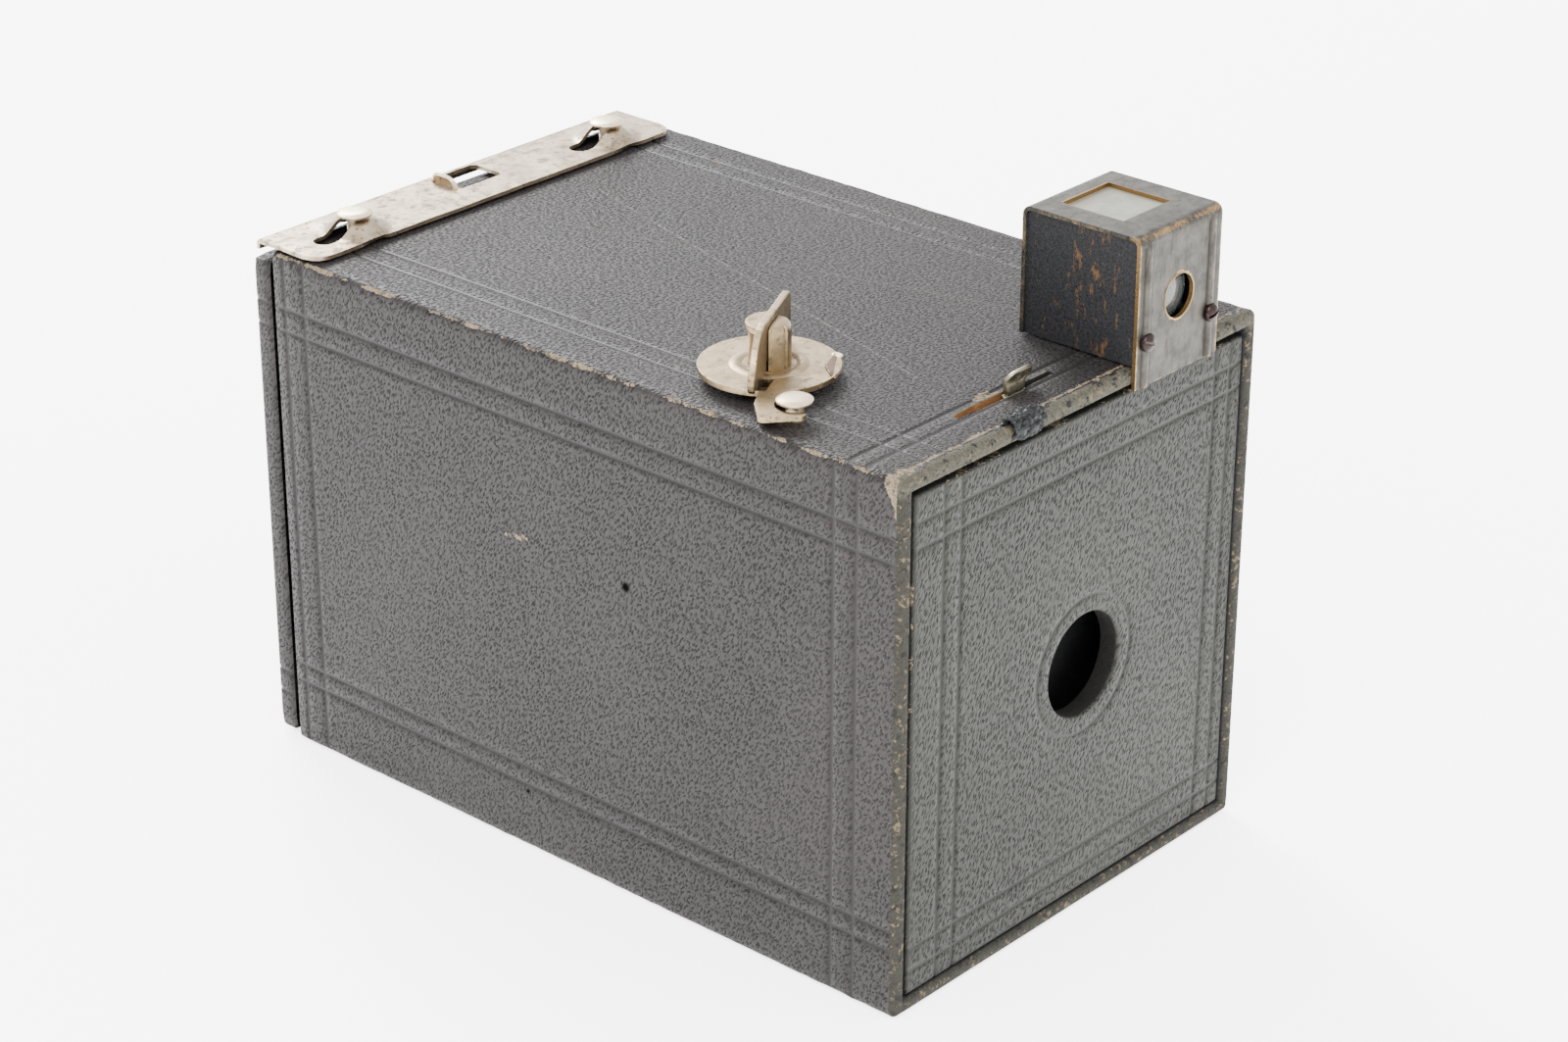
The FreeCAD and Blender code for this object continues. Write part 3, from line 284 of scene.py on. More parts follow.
def worn_through(made, colour, worn, edge, fine):
    """The colour with its frayed and bare places laid over it, and how bare each place is."""
    lumpy = made.noise(2.4, 4.0, 0.62)
    rags = made.sum(made.sum(lumpy, 0.55, "MULTIPLY"), made.sum(fine, 0.45, "MULTIPLY"))
    ragged = made.sum(worn, rags)
    bare = made.step(ragged, 1.0, 1.06)
    fray = made.step(ragged, 0.93, 1.0)
    colour = made.mix(made.sum(fray, 0.6, "MULTIPLY"), colour, grey(0.01))
    fibre = made.mix(made.step(fine, 0.35, 0.65), TAN, CREAM)
    scorch = made.step(made.noise(0.9, 3.0), 0.5, 0.66, 0.0, 0.85)
    fibre = made.mix(scorch, fibre, grey(0.03, 1.1, 0.95, 0.75))
    colour = made.mix(bare, colour, fibre)
    return made.mix(made.step(edge, 0.4, 0.6), colour, board_rim(made, fine)), bare


def leatherette(name, ground, pit, sheen, skew, size, marked=False):
    """Black cloth-backed paper: pressed pores, smooth tooled bands, and wear down to the board."""
    made = Finish(name, IOR=1.28)
    worn, smooth, edge = made.mask()[:3]
    fine = made.noise(0.35, 4.0, 0.7)
    grain = made.sum(pressed_grain(made, skew, size), made.step(smooth, 0.1, 0.9, 0.0, 0.85), "MAXIMUM")
    colour = cover_colour(made, grain, smooth, fine, ground, pit, sheen)
    gloss = made.step(grain, 0.0, 1.0, 0.16, 0.28)
    height = grain
    if marked:
        colour, height, gloss, worn = box_marks(made, colour, height, gloss, worn, sheen)
    colour, bare = worn_through(made, colour, worn, edge, fine)
    rough = made.step(grain, 0.0, 1.0, 0.62, 0.44)
    rough = made.mix(made.step(smooth, 0.2, 0.8, 0.0, 1.0), rough, grey(0.38))
    rough = made.mix(made.sum(bare, edge, "MAXIMUM"), rough, grey(0.85))
    made.feed(made.shader.inputs["Specular IOR Level"], gloss)
    relief = made.bump(height, 0.08)
    relief = made.bump(made.mix(bare, grey(0.6), fine), 0.16, relief)
    return made.show(colour, rough, relief)


def bare_board(name, pale, dark, shade_from=None):
    """Pressed board with short fibres; painted shade darkens it to the right of the x given last, where
    one is given.
    """
    made = Finish(name, Specular_IOR_Level=0.2)
    fibres = made.noise(0.7, 5.0, 0.7, made.mapped((0.25, 1.0, 1.0), (0, 0, 8)))
    blots = made.noise(5.0, 3.0)
    colour = made.mix(made.step(fibres, 0.3, 0.7), dark, pale)
    colour = made.mix(made.step(blots, 0.5, 0.7, 0.0, 0.4), colour, dark)
    if shade_from:
        # painted shade: right of the given x the board goes near black, standing for the shadow over the
        # slot's far end
        far = made.step(made.axes()[0], shade_from * MM, (shade_from + 3) * MM)
        colour = made.mix(far, colour, grey(0.012))
    return made.show(colour, made.step(fibres, 0.2, 0.8, 0.9, 0.75), made.bump(fibres, 0.12))


def worn_nickel(name, bright, dull, spot, wear=0.5, brush=(1.0, 1.0, 1.0)):
    """Old nickel plate: warm haze, pinholes and brown stains."""
    made = Finish(name, Metallic=1.0)
    haze = made.noise(3.2, 5.0, 0.62)
    fine = made.noise(0.35, 5.0, 0.7, made.mapped(brush))
    pits = made.step(made.cells(1.1, made.mapped()), 0.06, 0.2)
    colour = made.mix(made.step(haze, 0.3, 0.7), bright, dull)
    stains = made.step(made.noise(1.9, 5.0, 0.7), wear, wear + 0.12)
    colour = made.mix(made.sum(stains, 0.75, "MULTIPLY"), colour, spot)
    colour = made.mix(made.step(fine, 0.35, 0.75, 0.0, 0.45), colour, dull)
    colour = made.mix(pits, spot, colour)
    rough = made.sum(made.step(haze, 0.25, 0.75, 0.3, 0.46), made.sum(stains, 0.2, "MULTIPLY"))
    relief = made.bump(made.sum(fine, pits, "MULTIPLY"), 0.02)
    metal = made.step(stains, 0.0, 1.0, 1.0, 0.72)
    return made.show(colour, rough, relief, metal)


def old_brass(name):
    """Bronzed strap: grey-brown faces, streaks, and bright brass wherever fingers rub."""
    made = Finish(name, Metallic=0.9)
    worn, shade = made.mask()[:2]
    cloud = made.noise(2.6, 5.0, 0.65)
    fine = made.noise(0.3, 5.0, 0.75)
    streak = made.noise(0.9, 4.0, 0.65, made.mapped((1.0, 1.0, 0.22)))
    colour = made.mix(made.step(cloud, 0.3, 0.7), (0.034, 0.032, 0.028, 1), (0.075, 0.07, 0.06, 1))
    colour = made.mix(made.step(streak, 0.5, 0.68, 0.0, 0.7), colour, (0.014, 0.011, 0.0095, 1))
    colour = made.mix(made.step(fine, 0.55, 0.75, 0.0, 0.6), colour, (0.11, 0.1, 0.08, 1))
    colour = made.mix(made.sum(shade, 0.75, "MULTIPLY"), colour, (0.012, 0.01, 0.008, 1))
    rub = made.step(made.sum(worn, made.sum(made.sum(cloud, 0.45, "MULTIPLY"),
                                            made.sum(fine, 0.35, "MULTIPLY"))), 0.78, 0.95)
    colour = made.mix(rub, colour, (0.27, 0.165, 0.065, 1))
    rough = made.mix(rub, made.step(fine, 0.2, 0.8, 0.42, 0.62), grey(0.27))
    return made.show(colour, rough, made.bump(fine, 0.018))


def black_paint(name, copper):
    """Brush-blacked wood or tin, with coppery streaks where copper is above nothing."""
    made = Finish(name, Specular_IOR_Level=0.16)
    streak = made.noise(1.3, 5.0, 0.75, made.mapped((1.0, 1.0, 0.38)))
    if copper > 0.5:
        from_band = made.sum(made.sum(made.axes()[1], 0.0515, "ADD"), 0.0, "ABSOLUTE")
        streak = made.sum(streak, made.step(from_band, 1 * MM, 6 * MM, 0.045, -0.03))
    fine = made.noise(0.4, 4.0, 0.7)
    dark, pale = grey(0.007, 0.95, 0.98, 1.08), grey(0.017, 0.96, 0.98, 1.05)
    colour = made.mix(made.step(fine, 0.3, 0.7), dark, pale)
    rust = made.step(streak, 0.585, 0.68, 0.0, copper * 0.8)
    colour = made.mix(rust, colour, (0.088, 0.044, 0.018, 1))
    return made.show(colour, made.step(fine, 0.2, 0.8, 0.36, 0.6), made.bump(fine, 0.03))


def turned_wood(name):
    made = Finish(name, Specular_IOR_Level=0.35)
    grain = made.noise(1.4, 4.0, 0.6, made.mapped((1.0, 1.0, 0.12)))
    colour = made.mix(made.step(grain, 0.3, 0.7), (0.14, 0.075, 0.03, 1), (0.26, 0.16, 0.075, 1))
    return made.show(colour, made.step(grain, 0.2, 0.8, 0.6, 0.45), made.bump(grain, 0.05))


def dull_sheet(name, pale, dark, rough, size=1.2, depth=0.03):
    """Paper, card or lacquer with a faint mottled face."""
    made = Finish(name, Specular_IOR_Level=0.3)
    mottle = made.noise(size, 4.0, 0.65)
    colour = made.mix(made.step(mottle, 0.3, 0.7), dark, pale)
    return made.show(colour, made.step(mottle, 0.2, 0.8, rough, rough - 0.12), made.bump(mottle, depth))


def frosted(name):
    """Ground glass seen over a mirror: pale grey-green, darker and browner towards its edges."""
    made = Finish(name, Specular_IOR_Level=0.5)
    x, y, _ = made.axes()
    glass = middle("finder_glass") * MM
    across = made.sum(made.sum(x, glass.x, "SUBTRACT"), 0.0, "ABSOLUTE")
    along = made.sum(made.sum(y, glass.y, "SUBTRACT"), 0.0, "ABSOLUTE")
    rim = made.step(made.sum(across, along, "MAXIMUM"), 3.4 * MM, 5.4 * MM)
    cloud = made.noise(2.6, 4.0, 0.6)
    colour = made.mix(made.step(cloud, 0.3, 0.7), (0.12, 0.125, 0.1, 1), (0.175, 0.18, 0.14, 1))
    colour = made.mix(made.sum(rim, 0.7, "MULTIPLY"), colour, (0.1, 0.085, 0.06, 1))
    return made.show(colour, made.step(cloud, 0.2, 0.8, 0.5, 0.38), made.bump(made.noise(0.2), 0.01))


def clear_glass(name, tint, rough, gloss=0.5):
    made = Finish(name, Transmission_Weight=0.85, IOR=1.5, Base_Color=tint, Specular_IOR_Level=gloss)
    film = made.step(made.noise(3.0, 4.0), 0.3, 0.7, rough, rough + 0.08)
    return made.show(rough=film, normal=made.bump(made.noise(5.0, 1.0), 0.004))


def mirror_glass(name):
    made = Finish(name, Metallic=1.0)
    spots = made.step(made.noise(0.8, 4.0, 0.7), 0.62, 0.7)
    colour = made.mix(spots, (0.72, 0.74, 0.73, 1), (0.16, 0.13, 0.1, 1))
    return made.show(colour, made.step(spots, 0.0, 1.0, 0.08, 0.5))


SIDE_SKEW = ((1.0, 0.0), (0.45, 0.9), (-0.35, 0.75))
FRONT_SKEW = ((1.0, 0.0), (0.45, 0.9), (-0.25, 0.62))
SIDE_COVER = leatherette(
    "cover_side", grey(0.0175, 1.09, 0.95, 0.98), grey(0.0015, 1.05, 0.95, 1.05),
    grey(0.029, 1.1, 0.97, 0.92), SIDE_SKEW, 0.54, True)
FRONT_COVER = leatherette(
    "cover_front", grey(0.0195, 0.99, 1.0, 0.85), grey(0.0012, 0.95, 1.0, 1.0),
    grey(0.034, 1.0, 1.01, 0.86), FRONT_SKEW, 0.6)
CURL = leatherette(
    "curl", grey(0.018, 0.92, 1.02, 1.05), grey(0.003), grey(0.04, 0.95, 1.0, 1.0), SIDE_SKEW, 0.9)
# cut walls of the slot and key hole; right of x = -7 mm they carry painted shade
RAW_WITH_SHADE = bare_board("raw_board_with_shade", RAW_BOARD, (0.1, 0.042, 0.014, 1), -7.0)
HOLE_WALL = bare_board("hole_wall", (0.007, 0.0065, 0.005, 1), (0.003, 0.003, 0.003, 1))
STRIP_UNDER = dull_sheet("strip_under", (0.03, 0.026, 0.021, 1), (0.012, 0.011, 0.009, 1), 0.7)
NICKEL = worn_nickel(
    "nickel", (0.37, 0.285, 0.175, 1), (0.19, 0.14, 0.078, 1), (0.06, 0.038, 0.02, 1), 0.53)
STUD_NICKEL = worn_nickel(
    "stud_nickel", (0.74, 0.62, 0.46, 1), (0.52, 0.42, 0.29, 1), (0.12, 0.085, 0.055, 1), 0.64)
STRIP_NICKEL = worn_nickel(
    "strip_nickel", (0.42, 0.34, 0.245, 1), (0.2, 0.155, 0.105, 1), (0.06, 0.042, 0.03, 1), 0.5,
    (0.3, 1.0, 1.0))
EAR_NICKEL = worn_nickel(
    "ear_nickel", (0.36, 0.33, 0.23, 1), (0.13, 0.125, 0.085, 1), (0.05, 0.045, 0.03, 1), 0.52)
RUBBED = worn_nickel(
    "rubbed_key", (0.2, 0.125, 0.08, 1), (0.11, 0.07, 0.045, 1), (0.05, 0.03, 0.02, 1), 0.5)
BRIGHT_BRASS = worn_nickel(
    "bright_brass", (0.3, 0.2, 0.085, 1), (0.15, 0.1, 0.045, 1), (0.12, 0.08, 0.05, 1), 0.6)
SCREW_BRONZE = worn_nickel(
    "screw_bronze", (0.034, 0.023, 0.021, 1), (0.015, 0.01, 0.01, 1), (0.01, 0.008, 0.008, 1), 0.5)
BRASS = old_brass("brass")
INSIDE = black_paint("inside_black", 0.15)

CAD_FINISH = (
    (bare_board("wood_board", (0.13, 0.085, 0.045, 1), (0.075, 0.046, 0.024, 1)),
     ("front_frame", "cleat_left", "cleat_right", "shutter_board", "cap_rim",
      "carrier_top", "carrier_bottom", "carrier_front")),
    (dull_sheet("black_card", grey(0.03), grey(0.012), 0.75),
     ("carrier_gate", "carrier_cone")),
    (NICKEL, ("key_eyelet", "key_washer")),
    (black_paint("shutter_black", 0.35),
     ("stop_plate", "lens_cell", "lens_ring", "shutter_disc_rivet", "shutter_lever_rivet",
      "shutter_lever_spacer", "shutter_disc")),
    (worn_nickel("spring_wire", (0.5, 0.48, 0.45, 1), (0.3, 0.28, 0.26, 1), (0.1, 0.08, 0.06, 1)),
     ("shutter_spring",)),
    (clear_glass("lens_glass", (0.9, 0.95, 0.94, 1), 0.03), ("lens_glass",)),
    (clear_glass("view_lens", (0.2, 0.22, 0.22, 1), 0.06, 0.25), ("finder_lens",)),
    (black_paint("spool_tin", 0.3),
     ("supply_pin_top", "supply_pin_bottom", "takeup_pin", "takeup_flange_top",
      "takeup_flange_bottom", "supply_flange_top", "supply_flange_bottom")),
    (turned_wood("spool_wood"), ("takeup_core", "supply_core", "roller_left", "roller_right")),
    (dull_sheet("film_paper", (0.055, 0.006, 0.005, 1), (0.035, 0.004, 0.004, 1), 0.6),
     ("film_strip", "takeup_film", "supply_film")),
    (dull_sheet("red_celluloid", (0.13, 0.005, 0.004, 1), (0.07, 0.003, 0.003, 1), 0.3, 4.0, 0.01),
     ("red_window",)),
    (BRASS, ("finder_clip",)),
    (black_paint("housing_black", 0.9), ("finder_body",)),
    (frosted("ground_glass"), ("finder_glass",)),
    (mirror_glass("looking_glass"), ("finder_mirror",)),
)


# ---------------------------------------------------------------- mesh tools

def piece(name, points, faces, materials, body, stands_for=(), slot=None, indexes=None, marks=None,
          sharp=38):
    """A mesh in millimetres as a piece that rides on a body."""
    mesh = bpy.data.meshes.new(name)
    mesh.from_pydata([Vector(point) * MM for point in points], [], faces)
    for material in materials:
        mesh.materials.append(material)
    if indexes:
        mesh.polygons.foreach_set("material_index", indexes)
    mesh.polygons.foreach_set("use_smooth", [True] * len(mesh.polygons))
    if marks:
        layer = mesh.attributes.new("marks", "FLOAT_COLOR", "POINT")
        layer.data.foreach_set("color", [value for mark in marks for value in (*mark, 1.0)])
    mesh.validate()
    mesh.update()
    mesh.set_sharp_from_angle(angle=math.radians(sharp))
    made = bpy.data.objects.new(name, mesh)
    bpy.context.scene.collection.objects.link(made)
    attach(made, body)
    if stands_for:
        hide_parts(*stands_for)
    return made


def apply_modifiers(thing):
    graph = bpy.context.evaluated_depsgraph_get()
    solved = bpy.data.meshes.new_from_object(
        thing.evaluated_get(graph), preserve_all_data_layers=True, depsgraph=graph)
    thing.modifiers.clear()
    thing.data = solved
    return thing


def bevelled(thing, width, segments=3, angle=32):
    made = thing.modifiers.new("edges", "BEVEL")
    made.width = width * MM
    made.segments = segments
    made.limit_method = "ANGLE"
    made.angle_limit = math.radians(angle)
    made.harden_normals = True
    return thing


def cut_with(thing, *tools):
    for tool in tools:
        made = thing.modifiers.new("cut", "BOOLEAN")
        made.operation = "DIFFERENCE"
        made.solver = "EXACT"
        made.object = tool
        made.material_mode = "TRANSFER"
    apply_modifiers(thing)
    for tool in tools:
        bpy.data.objects.remove(tool)
    return thing


def thickened(thing, thickness, offset):
    """A sheet given a thickness in millimetres, on the side that offset tells."""
    made = thing.modifiers.new("thick", "SOLIDIFY")
    made.thickness = thickness * MM
    made.offset = offset
    return made


def grid_faces(columns, row):
    """Quads over a grid of points laid column after column, row points in each."""
    faces = []
    for i in range(columns):
        for k in range(row - 1):
            a = i * row + k
            faces.append((a, a + row, a + row + 1, a + 1))
    return faces


def slab(name, outline, low, high, materials, body, **rest):
    """An outline in X and Y as a plate from low to high, counter-clockwise outlines only."""
    count = len(outline)
    points = [(x, y, low) for x, y in outline] + [(x, y, high) for x, y in outline]
    faces = [tuple(reversed(range(count))), tuple(range(count, 2 * count))]
    for i in range(count):
        j = (i + 1) % count
        faces.append((i, j, count + j, count + i))
    made = piece(name, points, faces, materials, body, **rest)
    made.data.shade_flat()
    return made


def lathe(name, profile, centre, materials, body, steps=64, lean=None, ring=False, **rest):
    """A profile of (radius, height) turned about the vertical through centre; a ring has no ends."""
    points, faces = [], []
    for i in range(steps):
        angle = math.tau * i / steps
        for radius, height in profile:
            points.append(Vector((radius * math.cos(angle), radius * math.sin(angle), height)))
    count = len(profile)
    for i in range(steps):
        j = (i + 1) % steps
        for k in range(count - 1):
            faces.append((i * count + k, j * count + k, j * count + k + 1, i * count + k + 1))
        if ring:
            faces.append((i * count + count - 1, j * count + count - 1, j * count, i * count))
    if not ring:
        faces.append(tuple(i * count for i in reversed(range(steps))))
        faces.append(tuple(i * count + count - 1 for i in range(steps)))
    if lean:
        points = [lean @ point for point in points]
    points = [point + Vector(centre) for point in points]
    return piece(name, points, faces, materials, body, **rest)


def arc(x, y, radius, start, end, steps):
    turns = [math.radians(start + (end - start) * i / steps) for i in range(steps + 1)]
    return [(x + radius * math.cos(turn), y + radius * math.sin(turn)) for turn in turns]


def turned_to(outline, degrees, x, y):
    turn = math.radians(degrees)
    sine, cosine = math.sin(turn), math.cos(turn)
    return [(x + u * cosine - v * sine, y + u * sine + v * cosine) for u, v in outline]


def smoothstep(value, low, high):
    share = min(max((value - low) / (high - low), 0.0), 1.0)
    return share * share * (3 - 2 * share)


def ripple(x, y, z, size, seed=0.0):
    """Smooth noise from -1 to 1 whose lumps are about size millimetres across."""
    return noise.noise(Vector((x / size + seed, y / size - seed, z / size + 2 * seed)))


BAND = 0.38
GROOVE_DEPTH = 0.16


def stations(low, high, spacing, grooves=(), edge=0.0):
    """Places from low to high, evenly spaced, with closer ones across each groove."""
    count = max(2, round((high - low) / spacing))
    places = [low + (high - low) * i / count for i in range(count + 1)]
    for groove in grooves:
        places = [place for place in places if abs(place - groove) > BAND + 0.2]
        places += [groove - BAND, groove - BAND * 0.55, groove, groove + BAND * 0.55, groove + BAND]
    if edge:
        places = [place for place in places if low + edge < place < high - edge]
        places += [low, low + edge, high - edge, high]
    return sorted(place for place in places if low <= place <= high)


def groove_at(value, grooves):
    """How far down in a tooled band a place is, from 0 to 1."""
    near = min((abs(value - groove) for groove in grooves), default=9.0)
    return 1 - smoothstep(near, BAND * 0.5, BAND)


# ---------------------------------------------------------------- covered box

SIDE_LINES = (70.7, 67.2, 13.4, 10.5)
TOP_LINES = (-30.7, -27.0, 28.0, 31.5)
SIDE_BANDS = (56.3, 52.2, -47.4, -51.3)
TOP_BANDS = (56.3, 52.2, -49.2, -52.2)
CORNER = 0.9
RIM = 1.0
ROOF_SPECKS = ((28.9, -57.0, 0.9), (32.3, 36.3, 0.9), (23.3, 30.6, 0.8), (-10.0, -49.2, 2.0),
               (4.4, -18.5, 0.7))
SIDE_SCUFFS = ((9.4, 8.0, 0.5, 0.0),)


def loop_places():
    """Round the box: place, outward direction, wall name and how deep its lengthwise line is."""
    x_low, x_high, z_low, z_high = shell_low.x, shell_high.x, shell_low.z, shell_high.z
    top = stations(x_low + CORNER, x_high - CORNER, 1.1, TOP_LINES)
    right = stations(z_low + CORNER, z_high - CORNER, 1.4, SIDE_LINES)[::-1]
    bottom = stations(x_low + CORNER, x_high - CORNER, 1.8, TOP_LINES)[::-1]
    left = stations(z_low + CORNER, z_high - CORNER, 1.0, SIDE_LINES)
    walls = (
        ("top", top, (0, 1), z_high, TOP_LINES),
        ("right", right, (1, 0), x_high, SIDE_LINES),
        ("bottom", bottom, (0, -1), z_low, TOP_LINES),
        ("left", left, (-1, 0), x_low, SIDE_LINES),
    )
    places = []
    for name, along, (nx, nz), level, lines in walls:
        for value in along:
            x, z = (level, value) if nx else (value, level)
            places.append((x, z, nx, nz, name, groove_at(value, lines)))
        start = math.atan2(nz, nx)
        x, z = (level, along[-1]) if nx else (along[-1], level)
        x, z = x - nx * CORNER, z - nz * CORNER
        for i in range(1, 4):
            turn = start - math.pi / 2 * i / 4
            nx2, nz2 = math.cos(turn), math.sin(turn)
            places.append((x + CORNER * nx2, z + CORNER * nz2, nx2, nz2, name + "_edge", 0.0))
    return places


def corner_distance(x, z):
    """How far a place on the skin is from the nearest long edge."""
    across = min(abs(x - shell_low.x), abs(x - shell_high.x))
    up = min(abs(z - shell_low.z), abs(z - shell_high.z))
    return max(across, up)


def cover_marks(x, y, z, wall, tooled):
    """Wear (along the roof's left edge partly painted highlight), tooled band and bare board edge at a
    place on the cover.
    """
    patchy = ripple(x, y, z, 7.0, 3.0) * 0.5 + ripple(x, y, z, 2.2, 9.0) * 0.5
    edge = corner_distance(x, z)
    # partly real wear, partly painted highlight: the stronger, wider wear along the roof's left edge
    # stands for glints there
    top_left = x < 0 < z - 40
    most, width = (0.66, 1.4) if top_left else (0.5, 1.0)
    worn = most * (1 - smoothstep(edge, 0.3, width)) * (0.85 + 0.7 * patchy)
    front = y - shell_low.y
    rag = 2.1 + 1.0 * ripple(x, 0.0, z, 2.4, 5.0) + 0.7 * ripple(x, 0.0, z, 0.9, 5.0)
    if wall.startswith("top"):
        worn = max(worn, 0.62 * (1 - smoothstep(abs(front - rag), 0.35, 1.3)))
    else:
        worn = max(worn, 0.5 * (1 - smoothstep(front, 0.6, 2.0)) * (0.7 + patchy))
    worn = max(worn, 0.3 * (1 - smoothstep(shell_high.y - y, 0.3, 1.4)))
    down = shell_high.z - z
    torn = Vector((front * 1.15, down * 0.5)).length if wall.startswith("left") else front + down * 2
    if x < shell_low.x + 4 and z > 60:
        worn = max(worn, 0.95 * (1 - smoothstep(torn + 1.6 * patchy, 1.6, 4.8)))
    for spot_x, spot_y, size in ROOF_SPECKS:
        if wall == "top":
            away = Vector(((x - spot_x) / 1.6, y - spot_y)).length
            worn = max(worn, 0.6 * (1 - smoothstep(away, size * 0.4, size * 1.2)))
    for spot_y, spot_z, long, slope in SIDE_SCUFFS:
        if wall == "left":
            along = y - spot_y
            across = z - spot_z - slope * along
            away = max(abs(along) / long, abs(across) / 0.9)
            worn = max(worn, 0.6 * (1 - smoothstep(away, 0.5, 1.3)))
    band = 1.0 if front < (rag - 0.9 if wall.startswith("top") else 0.5) else 0.0
    return worn, tooled, band


def box_cover():
    """The sleeve: its covered outside, rolled front and rear rims, and blackened inside."""
    around = loop_places()
    low, high = shell_low.y, shell_high.y
    bands = SIDE_BANDS + TOP_BANDS
    along = stations(low + RIM, high - 0.6, 1.15, sorted(bands))
    points, marks, rows = [], [], []

    def ring(inset, y, tooled=False, mark=None):
        row = []
        for x, z, nx, nz, wall, line in around:
            deep = 0.0
            if tooled:
                lists = TOP_BANDS if wall in ("top", "bottom") else SIDE_BANDS
                deep = max(line, groove_at(y, lists)) if "_edge" not in wall else 0.0
            dent = 0.0
            if inset < 1.3:
                edge = corner_distance(x, z)
                rough = 0.5 + 0.5 * ripple(x, y, z, 2.0, 1.0)
                dent = 0.22 * rough * (1 - smoothstep(edge, 0.2, 1.6))
                dent += 0.03 * (1 + ripple(x, y, z, 9.0, 4.0))
            value = mark or cover_marks(x, y, z, wall, deep)
            depth = inset + dent + deep * GROOVE_DEPTH + 0.12 * min(value[0], 1.0)
            row.append(len(points))
            points.append((x - nx * depth, y, z - nz * depth))
            marks.append(value)
        rows.append(row)

    hidden = (0.0, 0.0, 0.0)
    rim = (0.15, 0.0, 1.0)
    ring(WALL, high - 3.0, mark=hidden)
    for place in stations(low + 3.0, high - 3.0, 9.0)[::-1]:
        ring(WALL, place, mark=hidden)
    ring(WALL, low + 0.5, mark=rim)
    ring(WALL - 0.25, low + 0.12, mark=rim)
    ring(WALL - 0.7, low, mark=rim)
    for i in range(5):
        turn = math.radians(12 + 18 * i)
        ring(RIM - RIM * math.sin(turn), low + RIM - RIM * math.cos(turn), mark=rim)
    first_outer = len(rows)
    for place in along:
        ring(0.0, place, True)
    for i in range(1, 4):
        turn = math.radians(30 * i)
        ring(0.6 - 0.6 * math.cos(turn), high - 0.6 + 0.6 * math.sin(turn), mark=(0.4, 0.0, 0.0))
    ring(WALL - 0.3, high, mark=(0.25, 0.0, 0.0))
    ring(WALL, high - 0.4, mark=(0.1, 0.0, 0.0))
    rows.append(rows[0])
    faces, indexes = [], []
    count = len(around)
    for r in range(len(rows) - 1):
        inner = r < 14
        for i in range(count):
            j = (i + 1) % count
            faces.append((rows[r][i], rows[r][j], rows[r + 1][j], rows[r + 1][i]))
            indexes.append(1 if inner and r < first_outer - 8 else 0)
    cover = piece("box_cover", points, faces, [SIDE_COVER, INSIDE, RAW_WITH_SHADE], "box", ("box_shell",),
                  "leatherette", indexes, marks, 70)
    return cut_with(cover, lever_slot_tool(), key_hole_tool())


def lever_slot_tool():
    """A torn slot: pointed at its left end, ragged along both sides."""
    left, right = -18.2, 1.8
    half = 0.75
    upper, lower = [], []
    steps = 40
    for i in range(steps + 1):
        x = left + (right - left) * i / steps
        closing = 1.0 - 0.32 * smoothstep(x, -5.5, -2.5)
        wide = half * min(1.0, 0.64 + (i / steps) * 1.6) * closing
        rag = 0.06 * closing * ripple(x, 0.0, 0.0, 0.8, 7.0)
        upper.append((x, SLOT_Y + wide + rag))
        lower.append((x, SLOT_Y - wide + rag * 0.7))
    outline = lower + upper[::-1]
    return slab("slot_tool", outline, TOP - WALL - 1, TOP + 2, [RAW_WITH_SHADE], "box")


def key_hole_tool():
    outline = arc(key.x, key.y, 3.6, 0, 350, 35)
    return slab("hole_tool", outline, TOP - WALL - 1, TOP + 2, [RAW_WITH_SHADE], "box")


def torn_curl():
    """A crumpled curl of cover paper standing on the front edge of the roof."""
    wide, high_steps, turns = 36, 44, math.radians(250)
    points = []
    centre = Vector((-13.0, shell_low.y + 0.7, TOP - 0.2))
    for i in range(wide + 1):
        u = i / wide - 0.5
        for k in range(high_steps + 1):
            turn = turns * k / high_steps - math.radians(60)
            radius = 1.75 * (1 - 0.35 * k / high_steps) * (1 - 1.7 * u * u)
            x = u * 6.2
            fold = 1 - 2.4 * abs(ripple(x, turn * 1.3, 0.0, 1.0, 2.0))
            crease = 1 - 2.4 * abs(ripple(x, turn * 1.9, 0.0, 0.5, 6.0))
            radius += 0.42 * fold + 0.2 * crease - 0.2
            lift = Vector((0.25 * ripple(x, turn, 3.0, 0.8, 1.0), -math.cos(turn) * radius * 0.9,
                           math.sin(turn) * radius))
            points.append(centre + Vector((x, 0.0, 0.0)) + lift)
    faces = grid_faces(wide, high_steps + 1)
    marks = [(0.1 + 0.3 * max(0.0, ripple(*point, 0.9, 8.0)), 0.4, 0.0) for point in points]
    curl = piece("torn_curl", points, faces, [CURL], "box", slot="leatherette", marks=marks)
    thickened(curl, 0.3, 1.0)
    return apply_modifiers(curl)


# ---------------------------------------------------------------- front and back panels

HIDDEN = (0.0, 0.0, 0.0)


